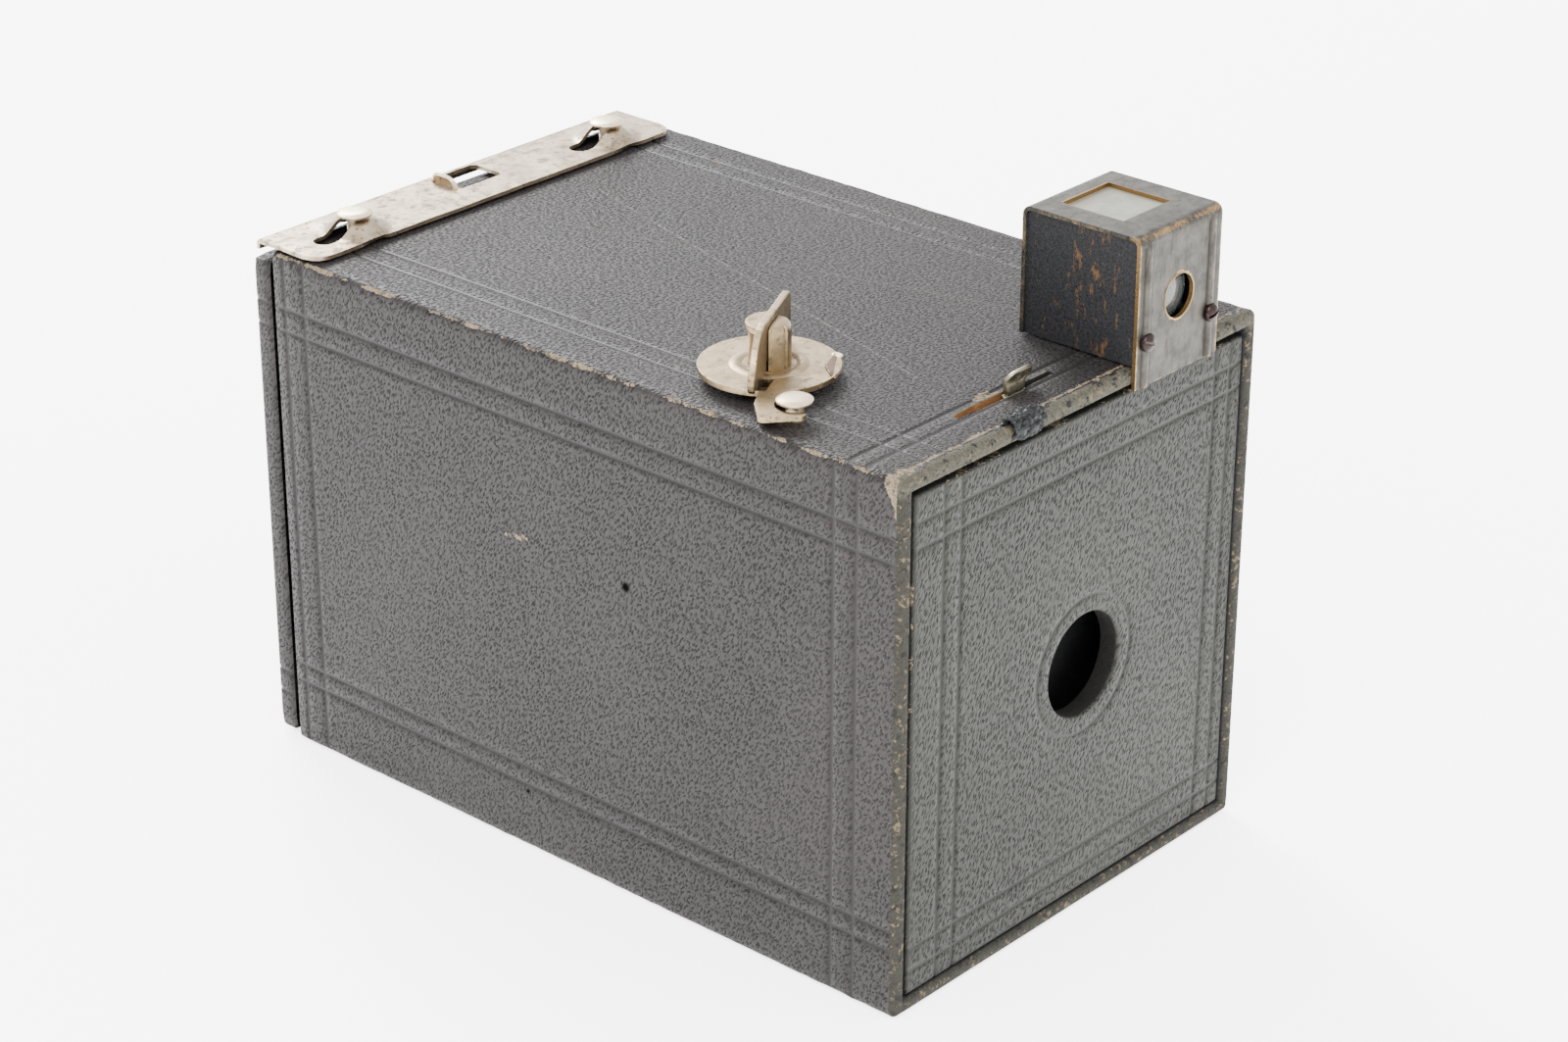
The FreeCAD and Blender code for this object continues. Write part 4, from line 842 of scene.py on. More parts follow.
class Panel:
    """A covered board with tooled borders and a round hole, its face towards face_y's side."""

    def __init__(self, low, high, face_y, back_y, hole, radii, lines, rounding, marks_at):
        self.low, self.high = low, high
        self.face_y = face_y
        self.out = -1.0 if face_y < back_y else 1.0
        self.thick = abs(face_y - back_y)
        self.hole = hole
        self.hole_radius, self.ring_radius = radii
        self.lines_x, self.lines_z = lines
        self.rounding = rounding
        self.marks_at = marks_at
        self.points, self.marks, self.faces, self.indexes = [], [], [], []
        self.reach = self.ring_radius + 4.0
        self.x_cuts = (hole[0] - self.reach, hole[0] + self.reach)
        self.z_cuts = (hole[1] - self.reach, hole[1] + self.reach)
        self.xs = self.places(low.x, high.x, self.lines_x, self.x_cuts)
        self.zs = self.places(low.z, high.z, self.lines_z, self.z_cuts)
        self.table = {}
        for i, x in enumerate(self.xs):
            for k, z in enumerate(self.zs):
                self.table[i, k] = self.put(x, z, 0.0)
        self.face()
        self.round_hole()
        self.edges()

    def places(self, start, end, lines, cuts):
        found = stations(start + self.rounding, end - self.rounding, 1.1, lines)
        return sorted([place for place in found if min(abs(place - c) for c in cuts) > 0.35] + list(cuts))

    def add(self, x, z, depth, value):
        self.points.append((x, self.face_y - self.out * depth, z))
        self.marks.append(value)
        return len(self.points) - 1

    def put(self, x, z, depth, mark=None):
        tooled = max(groove_at(x, self.lines_x), groove_at(z, self.lines_z))
        away = Vector((x - self.hole[0], z - self.hole[1])).length
        straight = tooled if away > self.reach else 0.0
        tooled = max(straight, groove_at(away, (self.ring_radius,)) * 0.75)
        value = mark or self.marks_at(x, z, tooled)
        sunk = depth + (tooled * GROOVE_DEPTH if not mark else 0.0)
        return self.add(x, z, sunk, value)

    def quad(self, corners, index=0):
        self.faces.append(corners if self.out < 0 else corners[::-1])
        self.indexes.append(index)

    def join(self, loop, inner, index=0):
        """Quads between two closed loops; the second one becomes the next loop."""
        for a in range(len(loop)):
            b = (a + 1) % len(loop)
            self.quad((loop[a], loop[b], inner[b], inner[a]), index)
        return inner

    def face(self):
        """The flat face, but for a square round the hole."""
        xs, zs, table = self.xs, self.zs, self.table
        for i in range(len(xs) - 1):
            for k in range(len(zs) - 1):
                inside_x = self.x_cuts[0] - 0.01 < xs[i] and xs[i + 1] < self.x_cuts[1] + 0.01
                inside_z = self.z_cuts[0] - 0.01 < zs[k] and zs[k + 1] < self.z_cuts[1] + 0.01
                if not (inside_x and inside_z):
                    self.quad((table[i, k], table[i + 1, k], table[i + 1, k + 1], table[i, k + 1]))

    def rings(self):
        """Radius and depth of each ring from the square down to the hole's lip."""
        ring = self.ring_radius
        radii = [ring + 2.6, ring + 1.4, ring + BAND, ring + BAND * 0.55,
                 ring, ring - BAND * 0.55, ring - BAND, ring - 1.3]
        rings = [(radius, 0.0) for radius in radii if radius > self.hole_radius + 0.5]
        lip = self.hole_radius
        return rings + [(lip + 0.35, 0.0), (lip + 0.1, 0.1), (lip, 0.35)]

    def round_hole(self):
        """Rings from the square to the lip, then the hole's wall."""
        first_i, last_i = self.xs.index(self.x_cuts[0]), self.xs.index(self.x_cuts[1])
        first_k, last_k = self.zs.index(self.z_cuts[0]), self.zs.index(self.z_cuts[1])
        border = [(i, first_k) for i in range(first_i, last_i)]
        border += [(last_i, k) for k in range(first_k, last_k)]
        border += [(i, last_k) for i in range(last_i, first_i, -1)]
        border += [(first_i, k) for k in range(last_k, first_k, -1)]
        loop = [self.table[where] for where in border]
        turns = [math.atan2(self.zs[k] - self.hole[1], self.xs[i] - self.hole[0]) for i, k in border]
        for radius, depth in self.rings():
            loop = self.join(loop, self.circle(turns, radius, depth))
        for depth in (0.8, self.thick * 0.5, self.thick):
            loop = self.join(loop, self.circle(turns, self.hole_radius, depth, HIDDEN), 1)

    def circle(self, turns, radius, depth, mark=None):
        x, z = self.hole
        return [self.put(x + radius * math.cos(t), z + radius * math.sin(t), depth, mark) for t in turns]

    def pushed(self, x, z, share):
        """A place on the face's outline moved outwards, less far at the corners."""
        centre_x, centre_z = (self.low.x + self.high.x) / 2, (self.low.z + self.high.z) / 2
        half_x, half_z = (self.high.x - self.low.x) / 2, (self.high.z - self.low.z) / 2
        x_push = share if abs(x - centre_x) > half_x - self.rounding - 0.01 else 0.0
        z_push = share if abs(z - centre_z) > half_z - self.rounding - 0.01 else 0.0
        if x_push and z_push:
            x_push = z_push = share * 0.75
        return x + math.copysign(x_push, x - centre_x), z + math.copysign(z_push, z - centre_z)

    def edge_point(self, x, z, share, depth):
        centre_x, centre_z = (self.low.x + self.high.x) / 2, (self.low.z + self.high.z) / 2
        px, pz = self.pushed(x, z, share)
        tooled = max(groove_at(x, self.lines_x), groove_at(z, self.lines_z))
        value = self.marks_at(px, pz, tooled)
        sunk = tooled * GROOVE_DEPTH * 0.8 if depth < self.thick * 0.8 else 0.0
        px += -math.copysign(sunk, px - centre_x) if abs(px - x) > 0.01 else 0.0
        pz += -math.copysign(sunk, pz - centre_z) if abs(pz - z) > 0.01 else 0.0
        return self.add(px, pz, depth, value)

    def edges(self):
        """The rounded rim and the board's four sides."""
        last_i, last_k = len(self.xs) - 1, len(self.zs) - 1
        outer = [(i, 0) for i in range(last_i)] + [(last_i, k) for k in range(last_k)]
        outer += [(i, last_k) for i in range(last_i, 0, -1)]
        outer += [(0, k) for k in range(last_k, 0, -1)]
        loop = [self.table[where] for where in outer]
        size, thick = self.rounding, self.thick
        sides = [(size * math.sin(math.radians(a)), size * (1 - math.cos(math.radians(a))))
                 for a in (22, 45, 67, 90)]
        sides += [(size, thick * 0.6), (size, thick - 0.3), (size - 0.3, thick)]
        for share, depth in sides:
            row = [self.edge_point(self.xs[i], self.zs[k], share, depth) for i, k in outer]
            for a in range(len(loop)):
                b = (a + 1) % len(loop)
                self.quad((loop[b], loop[a], row[a], row[b]))
            loop = row

    def piece(self, name, materials, body, stands_for):
        return piece(name, self.points, self.faces, materials, body, stands_for, "leatherette",
                     self.indexes, self.marks, 70)


def front_marks(x, z, tooled):
    edge = min(x - board_low.x, board_high.x - x, board_high.z - z, z - board_low.z)
    patchy = 0.5 + 0.5 * ripple(x, 0.0, z, 3.0, 4.0)
    near_left_top = min(x - board_low.x, board_high.z - z)
    rub = 0.42 * (1 - smoothstep(edge, 0.2, 1.2)) * patchy
    # partly real wear, partly painted highlight: the extra rub along the top and left edges stands for
    # glints there
    rub = max(rub, 0.58 * (1 - smoothstep(near_left_top, 0.1, 0.9)) * (0.5 + 0.5 * patchy))
    lip = Vector((x - lens.x, z - lens.z)).length
    rub = max(rub, 0.42 * (1 - smoothstep(abs(lip - LENS_HOLE), 0.1, 0.5)) * patchy)
    return rub, max(tooled, 0.7 * (1 - smoothstep(edge, 0.3, 1.1))), 0.0


def cap_marks(x, z, tooled):
    edge = min(x - cap_low.x, cap_high.x - x, cap_high.z - z, z - cap_low.z)
    patchy = 0.5 + 0.5 * ripple(x, 5.0, z, 3.0, 4.0)
    return 0.5 * (1 - smoothstep(edge, 0.2, 1.4)) * patchy, tooled, 0.0


def panels():
    front_lines = ((-28.9, -25.4, 29.2, 32.7), (71.9, 68.2, 9.3, 5.8))
    front = Panel(board_low, board_high, board_low.y, board_high.y, (lens.x, lens.z),
                  (LENS_HOLE, 10.3), front_lines, 0.5, front_marks)
    front.piece("front_panel", [FRONT_COVER, HOLE_WALL], "box", ("front_board",))
    cap_lines = ((-31.6, -28.0, 28.0, 31.6), (70.6, 67.0, 10.6, 7.0))
    cap = Panel(cap_low, cap_high, cap_high.y, cap_low.y, (window.x, window.z),
                (5.5, 8.6), cap_lines, 1.1, cap_marks)
    cap.piece("cap_panel", [SIDE_COVER, HOLE_WALL], "back_cap", ("cap_board",))


# ---------------------------------------------------------------- latch strip

STRIP_FLAT = 80.2


def strip_height(x, y):
    """Height of the strip's top face: flat, with a pressed dome at each stud and a slight waviness."""
    level = STRIP_FLAT
    for place, _ in studs:
        away = Vector((x - place.x, (y - place.y) * 0.98)).length
        level += 1.85 * (1 - smoothstep(away, 1.7, 5.2))
    level += 0.1 * ripple(x, y, 0.0, 6.0, 2.0) - 0.1
    return level


def latch_plate():
    """The worn latch strip: rounded front corners, pressed domes, turned-down rear lip."""
    left, right, near, far = strip_low.x, strip_high.x, strip_low.y, strip_high.y
    radius = 3.0
    bend = 0.9
    xs = stations(left, right, 0.42)
    vs = [near + (far - bend - near) * i / 26 for i in range(27)]
    tail = [(far - bend + bend * math.sin(math.radians(a)), -bend * (1 - math.cos(math.radians(a))))
            for a in (20, 40, 60, 80)] + [(far, strip_low.z + 0.02 - STRIP_FLAT)]
    points = []
    for x in xs:
        inset = 0.0
        side = min(x - left, right - x)
        if side < radius:
            inset = radius - math.sqrt(max(0.0, radius * radius - (radius - side) ** 2))
        nick = 0.12 * ripple(x, 0.0, 0.0, 1.6, 3.0) if x < -24 else 0.0
        for v in vs:
            start = inset + nick
            y = near + start + (v - near) * (far - bend - near - start) / (far - bend - near)
            points.append((x, max(y, near), strip_height(x, y)))
        for y, drop in tail:
            points.append((x, y, STRIP_FLAT + drop))
    faces = grid_faces(len(xs) - 1, len(vs) + len(tail))
    sheet = piece("latch_plate", points, faces, [STRIP_NICKEL, STRIP_UNDER], "latch_strip",
                  ("latch_strip",), "nickel")
    thickened(sheet, 0.6, -1.0).material_offset = 1
    cut_with(sheet, *strip_tools())
    return bevelled(sheet, 0.12, 2, 40)


def strip_tools():
    """Cutters for the strip's two stud slots and the window behind its grip."""
    tools = []
    for place, _ in studs:
        half = 1.6
        outline = arc(place.x, place.y, half, -90, 90, 12)
        outline += arc(place.x - 6.0, place.y, half, 90, 270, 12)
        tools.append(slab("slot_tool", outline, TOP - 1, TOP + 6, [STRIP_NICKEL], "box"))
    back_y = shell_high.y
    outline = [(-4.2, back_y - 4.25), (3.6, back_y - 4.25), (4.2, back_y - 3.6), (4.2, back_y + 1.4),
               (3.6, back_y + 2.0), (-4.2, back_y + 2.0)]
    tools.append(slab("window_tool", outline, TOP - 1, TOP + 6, [STRIP_NICKEL], "box"))
    return tools


def latch_grip():
    """The bright tab bent up at the left of the strip's window."""
    back_y = shell_high.y
    base = STRIP_FLAT - 0.3
    points = []
    steps = 14
    for i in range(steps + 1):
        y = back_y - 3.6 + 5.0 * i / steps
        rise = 1.7 * math.sqrt(max(0.0, 1 - (2 * i / steps - 1) ** 4))
        for lean, share in ((0.0, 0.0), (-0.1, 0.4), (-0.35, 0.8), (-0.6, 1.0)):
            points.append((-4.4 + lean, y, base + rise * share))
    faces = grid_faces(steps, 4)
    tab = piece("latch_grip", points, faces, [STUD_NICKEL], "latch_strip", slot="nickel")
    thickened(tab, 0.55, 0.0)
    bevelled(apply_modifiers(tab), 0.14, 2)


def headed_stud(name, place, shank, head, top_z, stands_for):
    thick = 0.8
    profile = [(shank, TOP - WALL), (shank, top_z - thick), (head - 0.35, top_z - thick),
               (head - 0.06, top_z - thick * 0.82), (head, top_z - thick * 0.6),
               (head - 0.03, top_z - thick * 0.4), (head - 0.55, top_z - 0.06), (head - 0.75, top_z),
               (0.3, top_z - 0.03)]
    made = lathe(name, profile, (place.x, place.y, 0.0), [STUD_NICKEL], "box", 48,
                 stands_for=stands_for, slot="nickel")
    return bevelled(made, 0.05, 2, 50)


def studs_and_key():
    for (place, top_z), side in zip(studs, ("left", "right")):
        headed_stud("strip_stud_" + side, place, 1.2, 2.6, top_z, ("latch_stud_" + side,))
    headed_stud("lock_stud", stud, 1.25, 2.5, stud_top, ("key_stud",))
    key_stamping()
    key_halves()


PLATE_TURN = -34.8
FOLD_TURN = -5.0
BLADE_TURN = 26.2
BLADE_FOOT = 82.5
BLADE_TOP = 88.1
STEM_RADIUS = 2.9
HALF_GAP = 0.62


def key_stamping():
    """Disc and hooked tab of the winding key, with its fold, blade and boss."""
    low, high = disc_low, disc_low + 0.8
    radius, reach, grip = 9.6, 14.0, 2.65
    disc = arc(0, 0, radius, -84, 248, 90)
    tab = [(-5.0, -12.4), (-5.35, -15.6)] + arc(-4.6, -16.3, 0.9, 180, 250, 4)
    tab += [(-1.0, -17.6)] + arc(0.0, -17.15, 0.7, -90, 30, 4) + [(0.45, -reach - grip)]
    notch = arc(0, -reach, grip, -90, -270, 18) + [(0.75, -reach + grip)]
    outline = turned_to(disc + tab + notch, PLATE_TURN, key.x, key.y)
    plate = slab("key_disc", outline, low, high, [NICKEL], "key", stands_for=("key_plate",),
                 slot="nickel")
    slit = [(-9.3, 0.5), (-3.3, 0.5), (-3.3, 2.0), (-9.0, 2.0)]
    slit = turned_to([(x, -y) for x, y in slit][::-1], BLADE_TURN, key.x, key.y)
    cut_with(plate, slab("slit_tool", slit, low - 1, high + 1, [NICKEL], "box"))
    bevelled(plate, 0.16, 3)
    key_fold(high)
    key_blade()
    key_boss(high)


def key_blade():
    """The sickle blade, standing up from the disc."""
    profile = [(-9.3, disc_low), (-3.1, disc_low), (-3.1, BLADE_FOOT), (9.0, BLADE_FOOT), (9.0, 87.5),
               (8.3, BLADE_TOP), (-3.4, BLADE_TOP)]
    for share in (0.2, 0.4, 0.6, 0.8, 1.0):
        profile.append((-3.4 - 6.5 * share ** 0.8, BLADE_TOP - 5.4 * share ** 1.9))
    profile += [(-10.1, 81.9), (-9.95, 81.1)]
    count = len(profile)
    points = []
    for side in (-0.5, 0.5):
        for x, z in profile:
            bow = 0.25 * smoothstep(-x, 4.0, 10.0)
            (px, py), = turned_to([(x, side - bow)], BLADE_TURN, key.x, key.y)
            points.append((px, py, z))
    faces = [tuple(range(count)), tuple(reversed(range(count, 2 * count)))]
    for i in range(count):
        j = (i + 1) % count
        faces.append((j, i, count + i, count + j))
    blade = piece("key_blade", points, faces, [NICKEL], "key", slot="nickel")
    blade.data.shade_flat()
    bevelled(blade, 0.2, 3)


def key_boss(high):
    """The ring pressed up round the stem."""
    ring = [(2.9, high - 0.1), (3.3, high - 0.1), (3.7, high + 0.02), (4.1, high + 0.16),
            (4.6, high + 0.2), (5.1, high + 0.1), (5.5, high - 0.05)]
    lathe("key_boss", ring[::-1], (key.x, key.y, 0.0), [NICKEL], "key", ring=True, slot="nickel")


def key_fold(high):
    """The bruised corner of the disc, rubbed brown and bent down at its rim to a small bright lug."""
    points, faces = [], []
    across, along = 7, 9
    for i in range(along + 1):
        for k in range(across + 1):
            turn = math.radians(-72 + 46 * i / along)
            reach = 9.72 - (0.3 + 2.1 * math.sin(math.pi * (i + 0.6) / (along + 1.2))) * k / across
            drop = 0.42 * (1 - k / across) ** 1.5
            place = (reach * math.cos(turn), reach * math.sin(turn))
            (x, y), = turned_to([place], FOLD_TURN, key.x, key.y)
            points.append((x, y, high + 0.06 - drop))
    for i in range(along):
        for k in range(across):
            a = i * (across + 1) + k
            faces.append((a, a + 1, a + across + 2, a + across + 1))
    fold = piece("key_fold", points, faces, [RUBBED], "key", slot="nickel")
    thickened(fold, 0.12, -1.0)
    apply_modifiers(fold)
    lug = arc(0.0, 0.0, 0.75, 0, 345, 23)
    lug_turn = math.radians(-27)
    lug_place = (9.35 * math.cos(lug_turn), 9.35 * math.sin(lug_turn))
    (x, y), = turned_to([lug_place], FOLD_TURN, key.x, key.y)
    lug = [(x + u * 0.9, y + v * 1.2) for u, v in lug]
    tab = slab("key_lug", lug, high - 0.6, high + 0.12, [STUD_NICKEL], "key", slot="nickel")
    bevelled(tab, 0.2)


def half_turned(name, profile, side, seam):
    """Half a turned stem, closed on its flat side, on one side of the blade."""
    steps = 28
    turn = math.radians(BLADE_TURN)
    shift = Vector((-math.sin(turn), math.cos(turn), 0.0)) * HALF_GAP * side
    points, faces = [], []
    count = len(profile)
    for i in range(steps + 1):
        angle = turn + (math.pi * i / steps if side > 0 else math.pi + math.pi * i / steps)
        for radius, height in profile:
            squeeze = 1.0 - HALF_GAP / STEM_RADIUS * abs(math.sin(math.pi * i / steps)) * 0.95
            crease = 1.0 - (0.1 if seam and abs(i - seam) < 1 else 0.0)
            reach = radius * squeeze * crease
            outward = Vector((math.cos(angle) * reach, math.sin(angle) * reach, 0.0))
            points.append(Vector((key.x, key.y, height)) + shift + outward)
    for i in range(steps):
        for k in range(count - 1):
            a = i * count + k
            faces.append((a, a + count, a + count + 1, a + 1))
    last = steps * count
    for k in range(count - 1):
        faces.append((last + k, k, k + 1, last + k + 1))
    faces.append(tuple(i * count + count - 1 for i in range(steps + 1)))
    made = piece(name, points, faces, [NICKEL], "key", slot="nickel")
    return bevelled(made, 0.08, 2, 45)


def key_halves():
    """The rolled stem in two halves: one with a wide flat cap, one with a rounded shoulder.
    Below the disc it is one shank with a neck for its washer and a flat tongue for the spool."""
    head = stem_high.z
    low = disc_low + 0.6
    washer_low, washer_high = span("key_washer")
    neck = washer_high.z + 0.1
    shank = [(STEM_RADIUS, low + 0.2), (STEM_RADIUS, neck + 0.2), (2.6, neck), (1.6, neck),
             (1.6, washer_low.z), (1.3, washer_low.z - 0.1)]
    lathe("key_shank", shank[::-1], (key.x, key.y, 0.0), [NICKEL], "key", stands_for=("key_stem",),
          slot="nickel")
    tongue = [(key.x - 0.6, key.y - 2.5), (key.x + 0.6, key.y - 2.5), (key.x + 0.6, key.y + 2.5),
              (key.x - 0.6, key.y + 2.5)]
    flat = slab("key_tongue", tongue, stem_low.z, washer_low.z - 0.05, [NICKEL], "key", slot="nickel")
    bevelled(flat, 0.2)
    wide = [(2.75, low), (2.75, head - 1.3), (2.95, head - 0.95), (3.3, head - 0.9), (3.3, head - 0.2),
            (3.15, head)]
    rounded = [(STEM_RADIUS, low), (STEM_RADIUS, head - 1.0), (2.78, head - 0.5), (2.45, head - 0.18),
               (2.0, head)]
    half_turned("key_stem_capped", wide, 1, 0)
    half_turned("key_stem_round", rounded, -1, 9)


# ---------------------------------------------------------------- shutter lever ear

EAR_HALF = 2.7
EAR_X = -6.2


def lever_arm():
    """The flat lever inside the box, cut off where its rolled ear begins."""
    source = frame["nodes"]["shutter_lever"].data
    points = [vertex.co / MM for vertex in source.vertices]
    faces = [tuple(face.vertices) for face in source.polygons]
    arm = piece("lever_arm", points, faces, [EAR_NICKEL], "shutter_lever", ("shutter_lever",),
                "lever_nickel")
    left, right = lever_low.x - 5, lever_high.x + 5
    block = [(left, -60.0), (right, -60.0), (right, -40.0), (left, -40.0)]
    weld = arm.modifiers.new("weld", "WELD")
    weld.merge_threshold = 0.001 * MM
    return cut_with(arm, slab("ear_tool", block, TOP - 0.3, TOP + 6, [EAR_NICKEL], "box"))


def lever_ear():
    """The rolled finger ear on the end of the shutter lever, leaning to the front."""
    top_z, low_z = lever_high.z + 0.1, TOP - 0.9
    outline = []
    steps = 48
    for i in range(steps):
        angle = math.tau * i / steps
        u = math.copysign(abs(math.cos(angle)) ** 0.55, math.cos(angle))
        v = math.copysign(abs(math.sin(angle)) ** 0.7, math.sin(angle))
        outline.append((u, v))
    points, faces = [], []
    layers = ((-0.43, 0.08), (-0.43, 0.35), (-0.43, 0.65), (-0.42, 0.9), (-0.36, 0.97), (-0.22, 1.0),
              (0.12, 1.0), (0.26, 0.97), (0.32, 0.9), (0.33, 0.65), (0.33, 0.35), (0.33, 0.08))
    for depth, scale in layers:
        for u, v in outline:
            z = low_z + (top_z - low_z) * (0.5 + 0.5 * v * scale)
            lean = -0.85 * smoothstep(z, TOP + 1.0, top_z + 0.6)
            flare = smoothstep(z, TOP + 0.9, TOP + 1.9)
            across = u * scale * (EAR_HALF - 0.7 + 0.7 * flare)
            bow = 0.2 * flare * u * u
            points.append((EAR_X + 0.75 * flare + across, SLOT_Y + depth + lean + bow, z))
    for k in range(len(layers) - 1):
        for i in range(steps):
            j = (i + 1) % steps
            faces.append((k * steps + i, k * steps + j, (k + 1) * steps + j, (k + 1) * steps + i))
    faces.append(tuple(reversed(range(steps))))
    faces.append(tuple(range((len(layers) - 1) * steps, len(layers) * steps)))
    return piece("lever_ear", points, faces, [EAR_NICKEL], "shutter_lever", slot="lever_nickel")


# ---------------------------------------------------------------- finder

def bead_distance(x):
    """How far a place is from the nearer of the strap's two pressed beads."""
    return min(abs(x - eye_x - BEAD_AT), abs(x - eye_x + BEAD_AT))


def strap_marks(x, y, z):
    """Rubbed edges, and painted shade as dark lines at the beads' feet and near the sides, at a place on
    the strap.
    """
    side = min(x - strap_low.x, strap_high.x - x)
    front = y - (strap_low.y + 0.45)
    down = strap_high.z - z
    front_top = Vector((max(front, 0.0), down)).length
    rub = 0.5 * (1 - smoothstep(front_top, 0.3, 2.0))
    front_edge = 0.5 if front < 1.5 else 0.38
    rub = max(rub, front_edge * (1 - smoothstep(side, 0.1, 0.7)))
    rub = max(rub, 0.36 * (1 - smoothstep(Vector((strap_high.y - y, down)).length, 0.3, 1.4)))
    bead = bead_distance(x)
    rub = max(rub, 0.4 * (1 - smoothstep(bead, 0.1, 0.5)) if front < 1 else 0.0)
    rub = max(rub, 0.45 * (1 - smoothstep(z - strap_low.z, 0.0, 0.8)) if front < 1 else 0.0)
    eye = Vector((x - eye_x, z - eye_z)).length
    if front < 1:
        rub = max(rub, 0.75 * (1 - smoothstep(abs(eye - EYE_RADIUS), 0.1, 0.45)))
    hole = max(abs(x - eye_x), abs(y - WINDOW_Y)) - WINDOW_HALF
    if down < 1:
        rub = max(rub, 0.4 * (1 - smoothstep(abs(hole), 0.1, 0.5)))
    # painted shade: dark lines at the foot of each raised bead and near the side edges, fed to the
    # strap's shade channel
    foot = 1 - smoothstep(abs(bead - 0.8), 0.08, 0.32) if front < 1 and down > 1.6 else 0.0
    seam = 1 - smoothstep(abs(side - 0.75), 0.1, 0.4) if front < 1 else 0.0
    return rub, max(foot, 0.6 * seam), 0.0


def strap_path(front, back, bend):
    """The strap's centre line seen from the side: up the front, over the top, down the back."""
    top_z, low_z, rear_low = strap_high.z, strap_low.z, TOP + 0.3
    quarter = [math.radians(a) for a in range(0, 91, 15)]
    path = [(front, low_z + (top_z - bend - low_z) * i / 34) for i in range(34)]
    path += [(front + bend * (1 - math.cos(a)), top_z - bend + bend * math.sin(a)) for a in quarter]
    path += [(front + bend + (back - front - 2 * bend) * i / 30, top_z) for i in range(1, 30)]
    path += [(back - bend + bend * math.sin(a), top_z - bend + bend * math.cos(a)) for a in quarter]
    path += [(back, top_z - bend - (top_z - bend - rear_low) * i / 15) for i in range(1, 16)]
    return path


def finder():
    """The bent strap with pressed beads, lens opening and window, over its blackened housing."""
    front, top_z = strap_low.y + 0.45, strap_high.z
    path = strap_path(front, strap_high.y, 1.3)
    xs = stations(strap_low.x, strap_high.x, 0.3)
    points, marks = [], []
    for x in xs:
        bead = max(0.0, 1 - (bead_distance(x) / 0.62) ** 2)
        for y, z in path:
            on_front = smoothstep(top_z - 0.9 - z, 0.0, 0.8) if y < front + 0.5 else 0.0
            points.append((x, y - 0.45 * bead ** 0.5 * on_front, z))
            marks.append(strap_marks(x, y, z))
    faces = grid_faces(len(xs) - 1, len(path))
    strap = piece("finder_band", points, faces, [BRASS], "finder", ("finder_strap",), "finder_brass",
                  marks=marks)
    thickened(strap, 0.6, -1.0)
    left, right = eye_x - WINDOW_HALF, eye_x + WINDOW_HALF
    near, far = WINDOW_Y - WINDOW_HALF, WINDOW_Y + WINDOW_HALF
    square = [(left, near), (right, near), (right, far), (left, far)]
    window_tool = slab("window_tool", square, top_z - 3, top_z + 3, [BRASS], "box")
    eye_tool = slab("eye_tool", arc(eye_x, 0.0, EYE_RADIUS, 0, 352.5, 47), -2.0, 2.0, [BRASS], "box")
    upright(eye_tool, (0.0, front, eye_z))
    cut_with(strap, window_tool, eye_tool)
    bevelled(strap, 0.14, 2, 40)
    rim = [(3.1, -0.1), (3.36, -0.1), (3.32, 0.06), (3.22, 0.09), (3.1, 0.03)]
    turn = Matrix.Rotation(math.pi / 2, 3, "X")
    lathe("finder_eye_rim", rim, (eye_x, front - 0.02, eye_z), [BRIGHT_BRASS], "finder", 64, turn,
          True, slot="finder_brass")
    screws(turn)


def upright(tool, place):
    """Turn a flat cutter so that it points forwards, and move it to a place in millimetres."""
    turn = Matrix.Rotation(math.pi / 2, 4, "X")
    tool.data.transform(Matrix.Translation(Vector(place) * MM) @ turn)


def screws(turn):
    """Two slotted dome-headed screws on the beads."""
    level = middle("finder_screws").z
    seat = strap_low.y + 0.1
    for sign, name in ((-1, "finder_screw_left"), (1, "finder_screw_right")):
        x = eye_x + BEAD_AT * sign
        profile = [(1.3, -0.5), (1.3, 0.05)]
        for angle in range(12, 85, 12):
            turned = math.radians(angle)
            profile.append((1.3 * math.cos(turned), 0.05 + 0.85 * math.sin(turned)))
        stands = ("finder_screws",) if sign < 0 else ()
        screw = lathe(name, profile, (x, seat, level), [SCREW_BRONZE], "finder", 40, turn,
                      stands_for=stands, slot="screw_bronze")
        groove = [(-1.6, -0.2), (1.6, -0.2), (1.6, 0.2), (-1.6, 0.2)]
        groove = turned_to(groove, 20 * sign, 0.0, 0.0)
        tool = slab("groove_tool", groove, 0.42, 3.0, [SCREW_BRONZE], "box")
        upright(tool, (x, seat, level))
        cut_with(screw, tool)
        bevelled(screw, 0.06, 2, 40)


# ---------------------------------------------------------------- carried-over parts

def finish_cad_nodes():
    for material, names in CAD_FINISH:
        for name in names:
            mesh = frame["nodes"][name].data
            mesh.materials.clear()
            mesh.materials.append(material)


# ---------------------------------------------------------------- stage

def lamp(name, place, target, size, power):
    data = bpy.data.lights.new(name, "AREA")
    data.shape = "DISK"
    data.size = size
    data.energy = power
    made = bpy.data.objects.new(name, data)
    bpy.context.scene.collection.objects.link(made)
    made.location = place
    made.rotation_euler = (Vector(target) - Vector(place)).to_track_quat("-Z", "Y").to_euler()
    return made


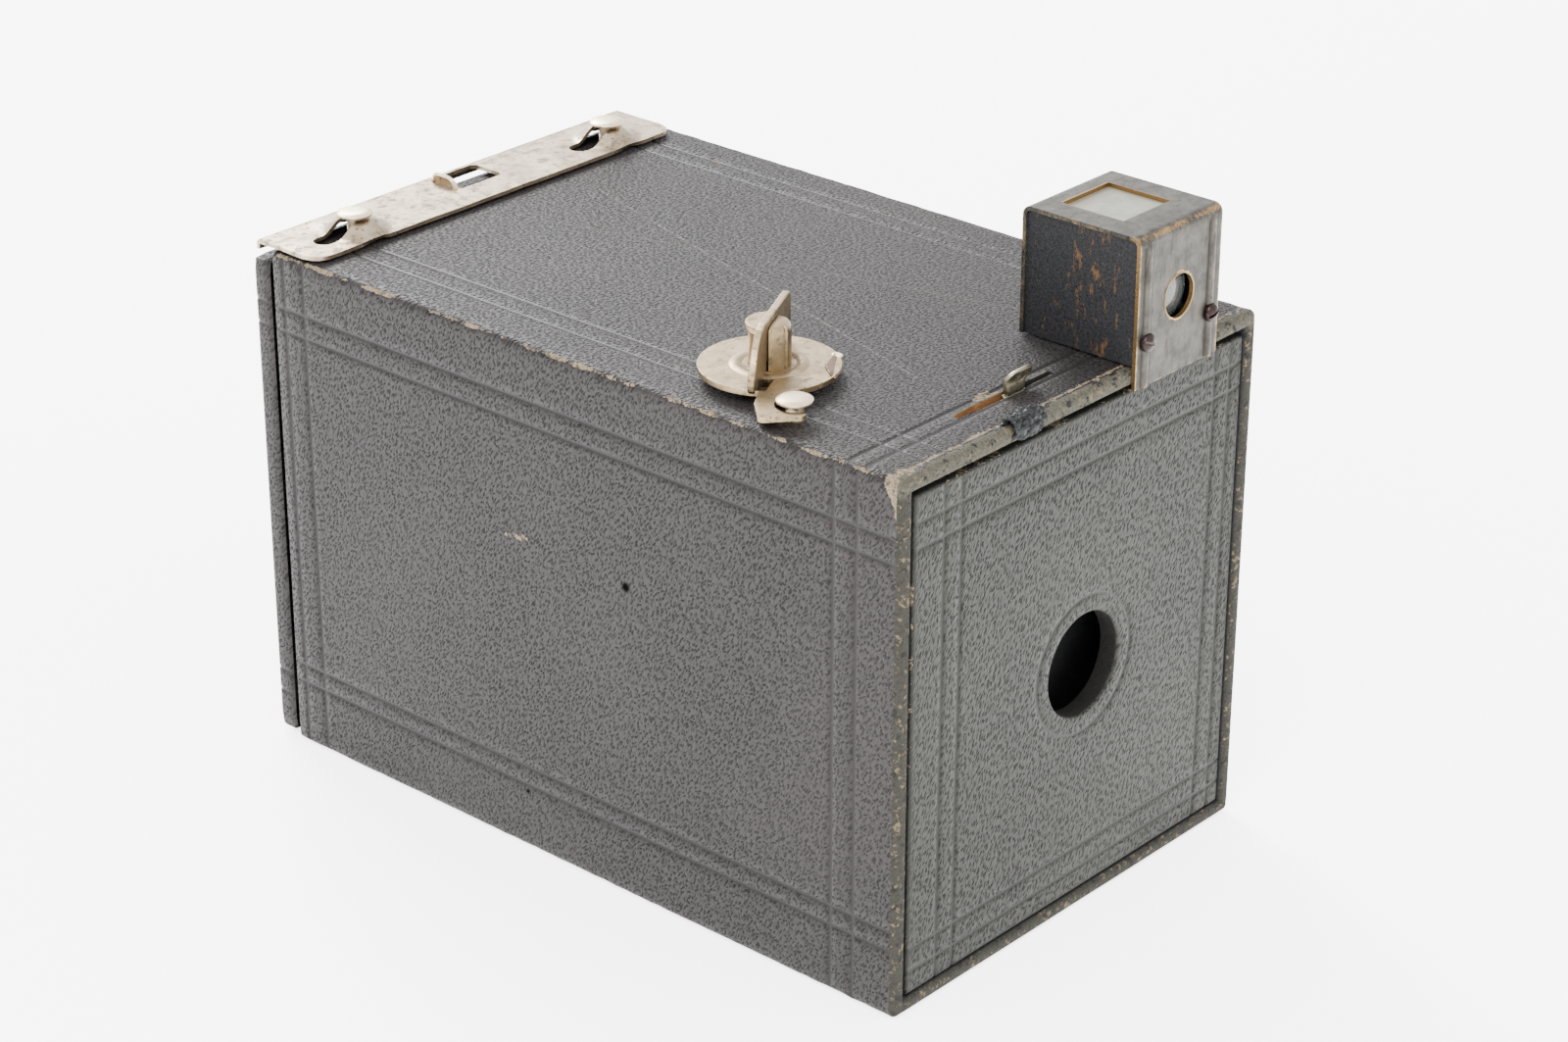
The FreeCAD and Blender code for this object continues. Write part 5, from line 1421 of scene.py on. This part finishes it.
def stage():
    """A wide pale sweep of floor, soft lamps and a pale sky."""
    steps = 24
    across = [-3000 + 6000 * i / steps for i in range(steps + 1)]
    points = [(x, y, -0.05) for x in across for y in across]
    faces = grid_faces(steps, steps + 1)
    paper = Finish("floor_paper", Specular_IOR_Level=0.1, Roughness=0.9, Emission_Strength=3.2,
                   Emission_Color=grey(1.0))
    tone = paper.step(paper.noise(300.0, 2.0), 0.3, 0.7)
    paper.show(paper.mix(tone, grey(0.92), grey(0.94)))
    floor = piece("floor", points, faces, [paper.material], "box")
    floor.parent = None
    del floor["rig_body"]
    lamp("key_lamp", (-0.75, -0.35, 1.1), (0, 0, 0.04), 0.8, 23.0)
    lamp("fill_lamp", (0.3, -1.3, 0.55), (0, 0, 0.04), 0.9, 5.0)
    lamp("rim_lamp", (0.5, 1.1, 0.9), (0, 0, 0.05), 0.7, 50.0)
    world = bpy.data.worlds.new("sky")
    world.use_nodes = True
    sky = world.node_tree.nodes["Background"]
    sky.inputs["Color"].default_value = (1.0, 1.0, 1.0, 1.0)
    sky.inputs["Strength"].default_value = 2.8
    bpy.context.scene.world = world


def camera():
    data = bpy.data.cameras.new("view")
    data.sensor_width = 36.0
    data.lens = 87.95
    data.clip_start = 0.01
    data.clip_end = 20.0
    azimuth, elevation, roll = (math.radians(angle) for angle in (-48.49, 25.54, 0.127))
    target = Vector((14.6, 7.5, 34.0)) * MM
    back = Vector((math.sin(azimuth) * math.cos(elevation), -math.cos(azimuth) * math.cos(elevation),
                   math.sin(elevation)))
    right = Vector((math.cos(azimuth), math.sin(azimuth), 0.0))
    up = back.cross(right)
    across = right * math.cos(roll) + up * math.sin(roll)
    upward = up * math.cos(roll) - right * math.sin(roll)
    made = bpy.data.objects.new("view", data)
    bpy.context.scene.collection.objects.link(made)
    axes = Matrix((across, upward, back)).transposed()
    made.matrix_world = Matrix.Translation(target + back * 0.57) @ axes.to_4x4()
    bpy.context.scene.camera = made


# ---------------------------------------------------------------- the scene

camera()
finish_cad_nodes()
box_cover()
torn_curl()
panels()
latch_plate()
latch_grip()
studs_and_key()
lever_arm()
lever_ear()
finder()
stage()
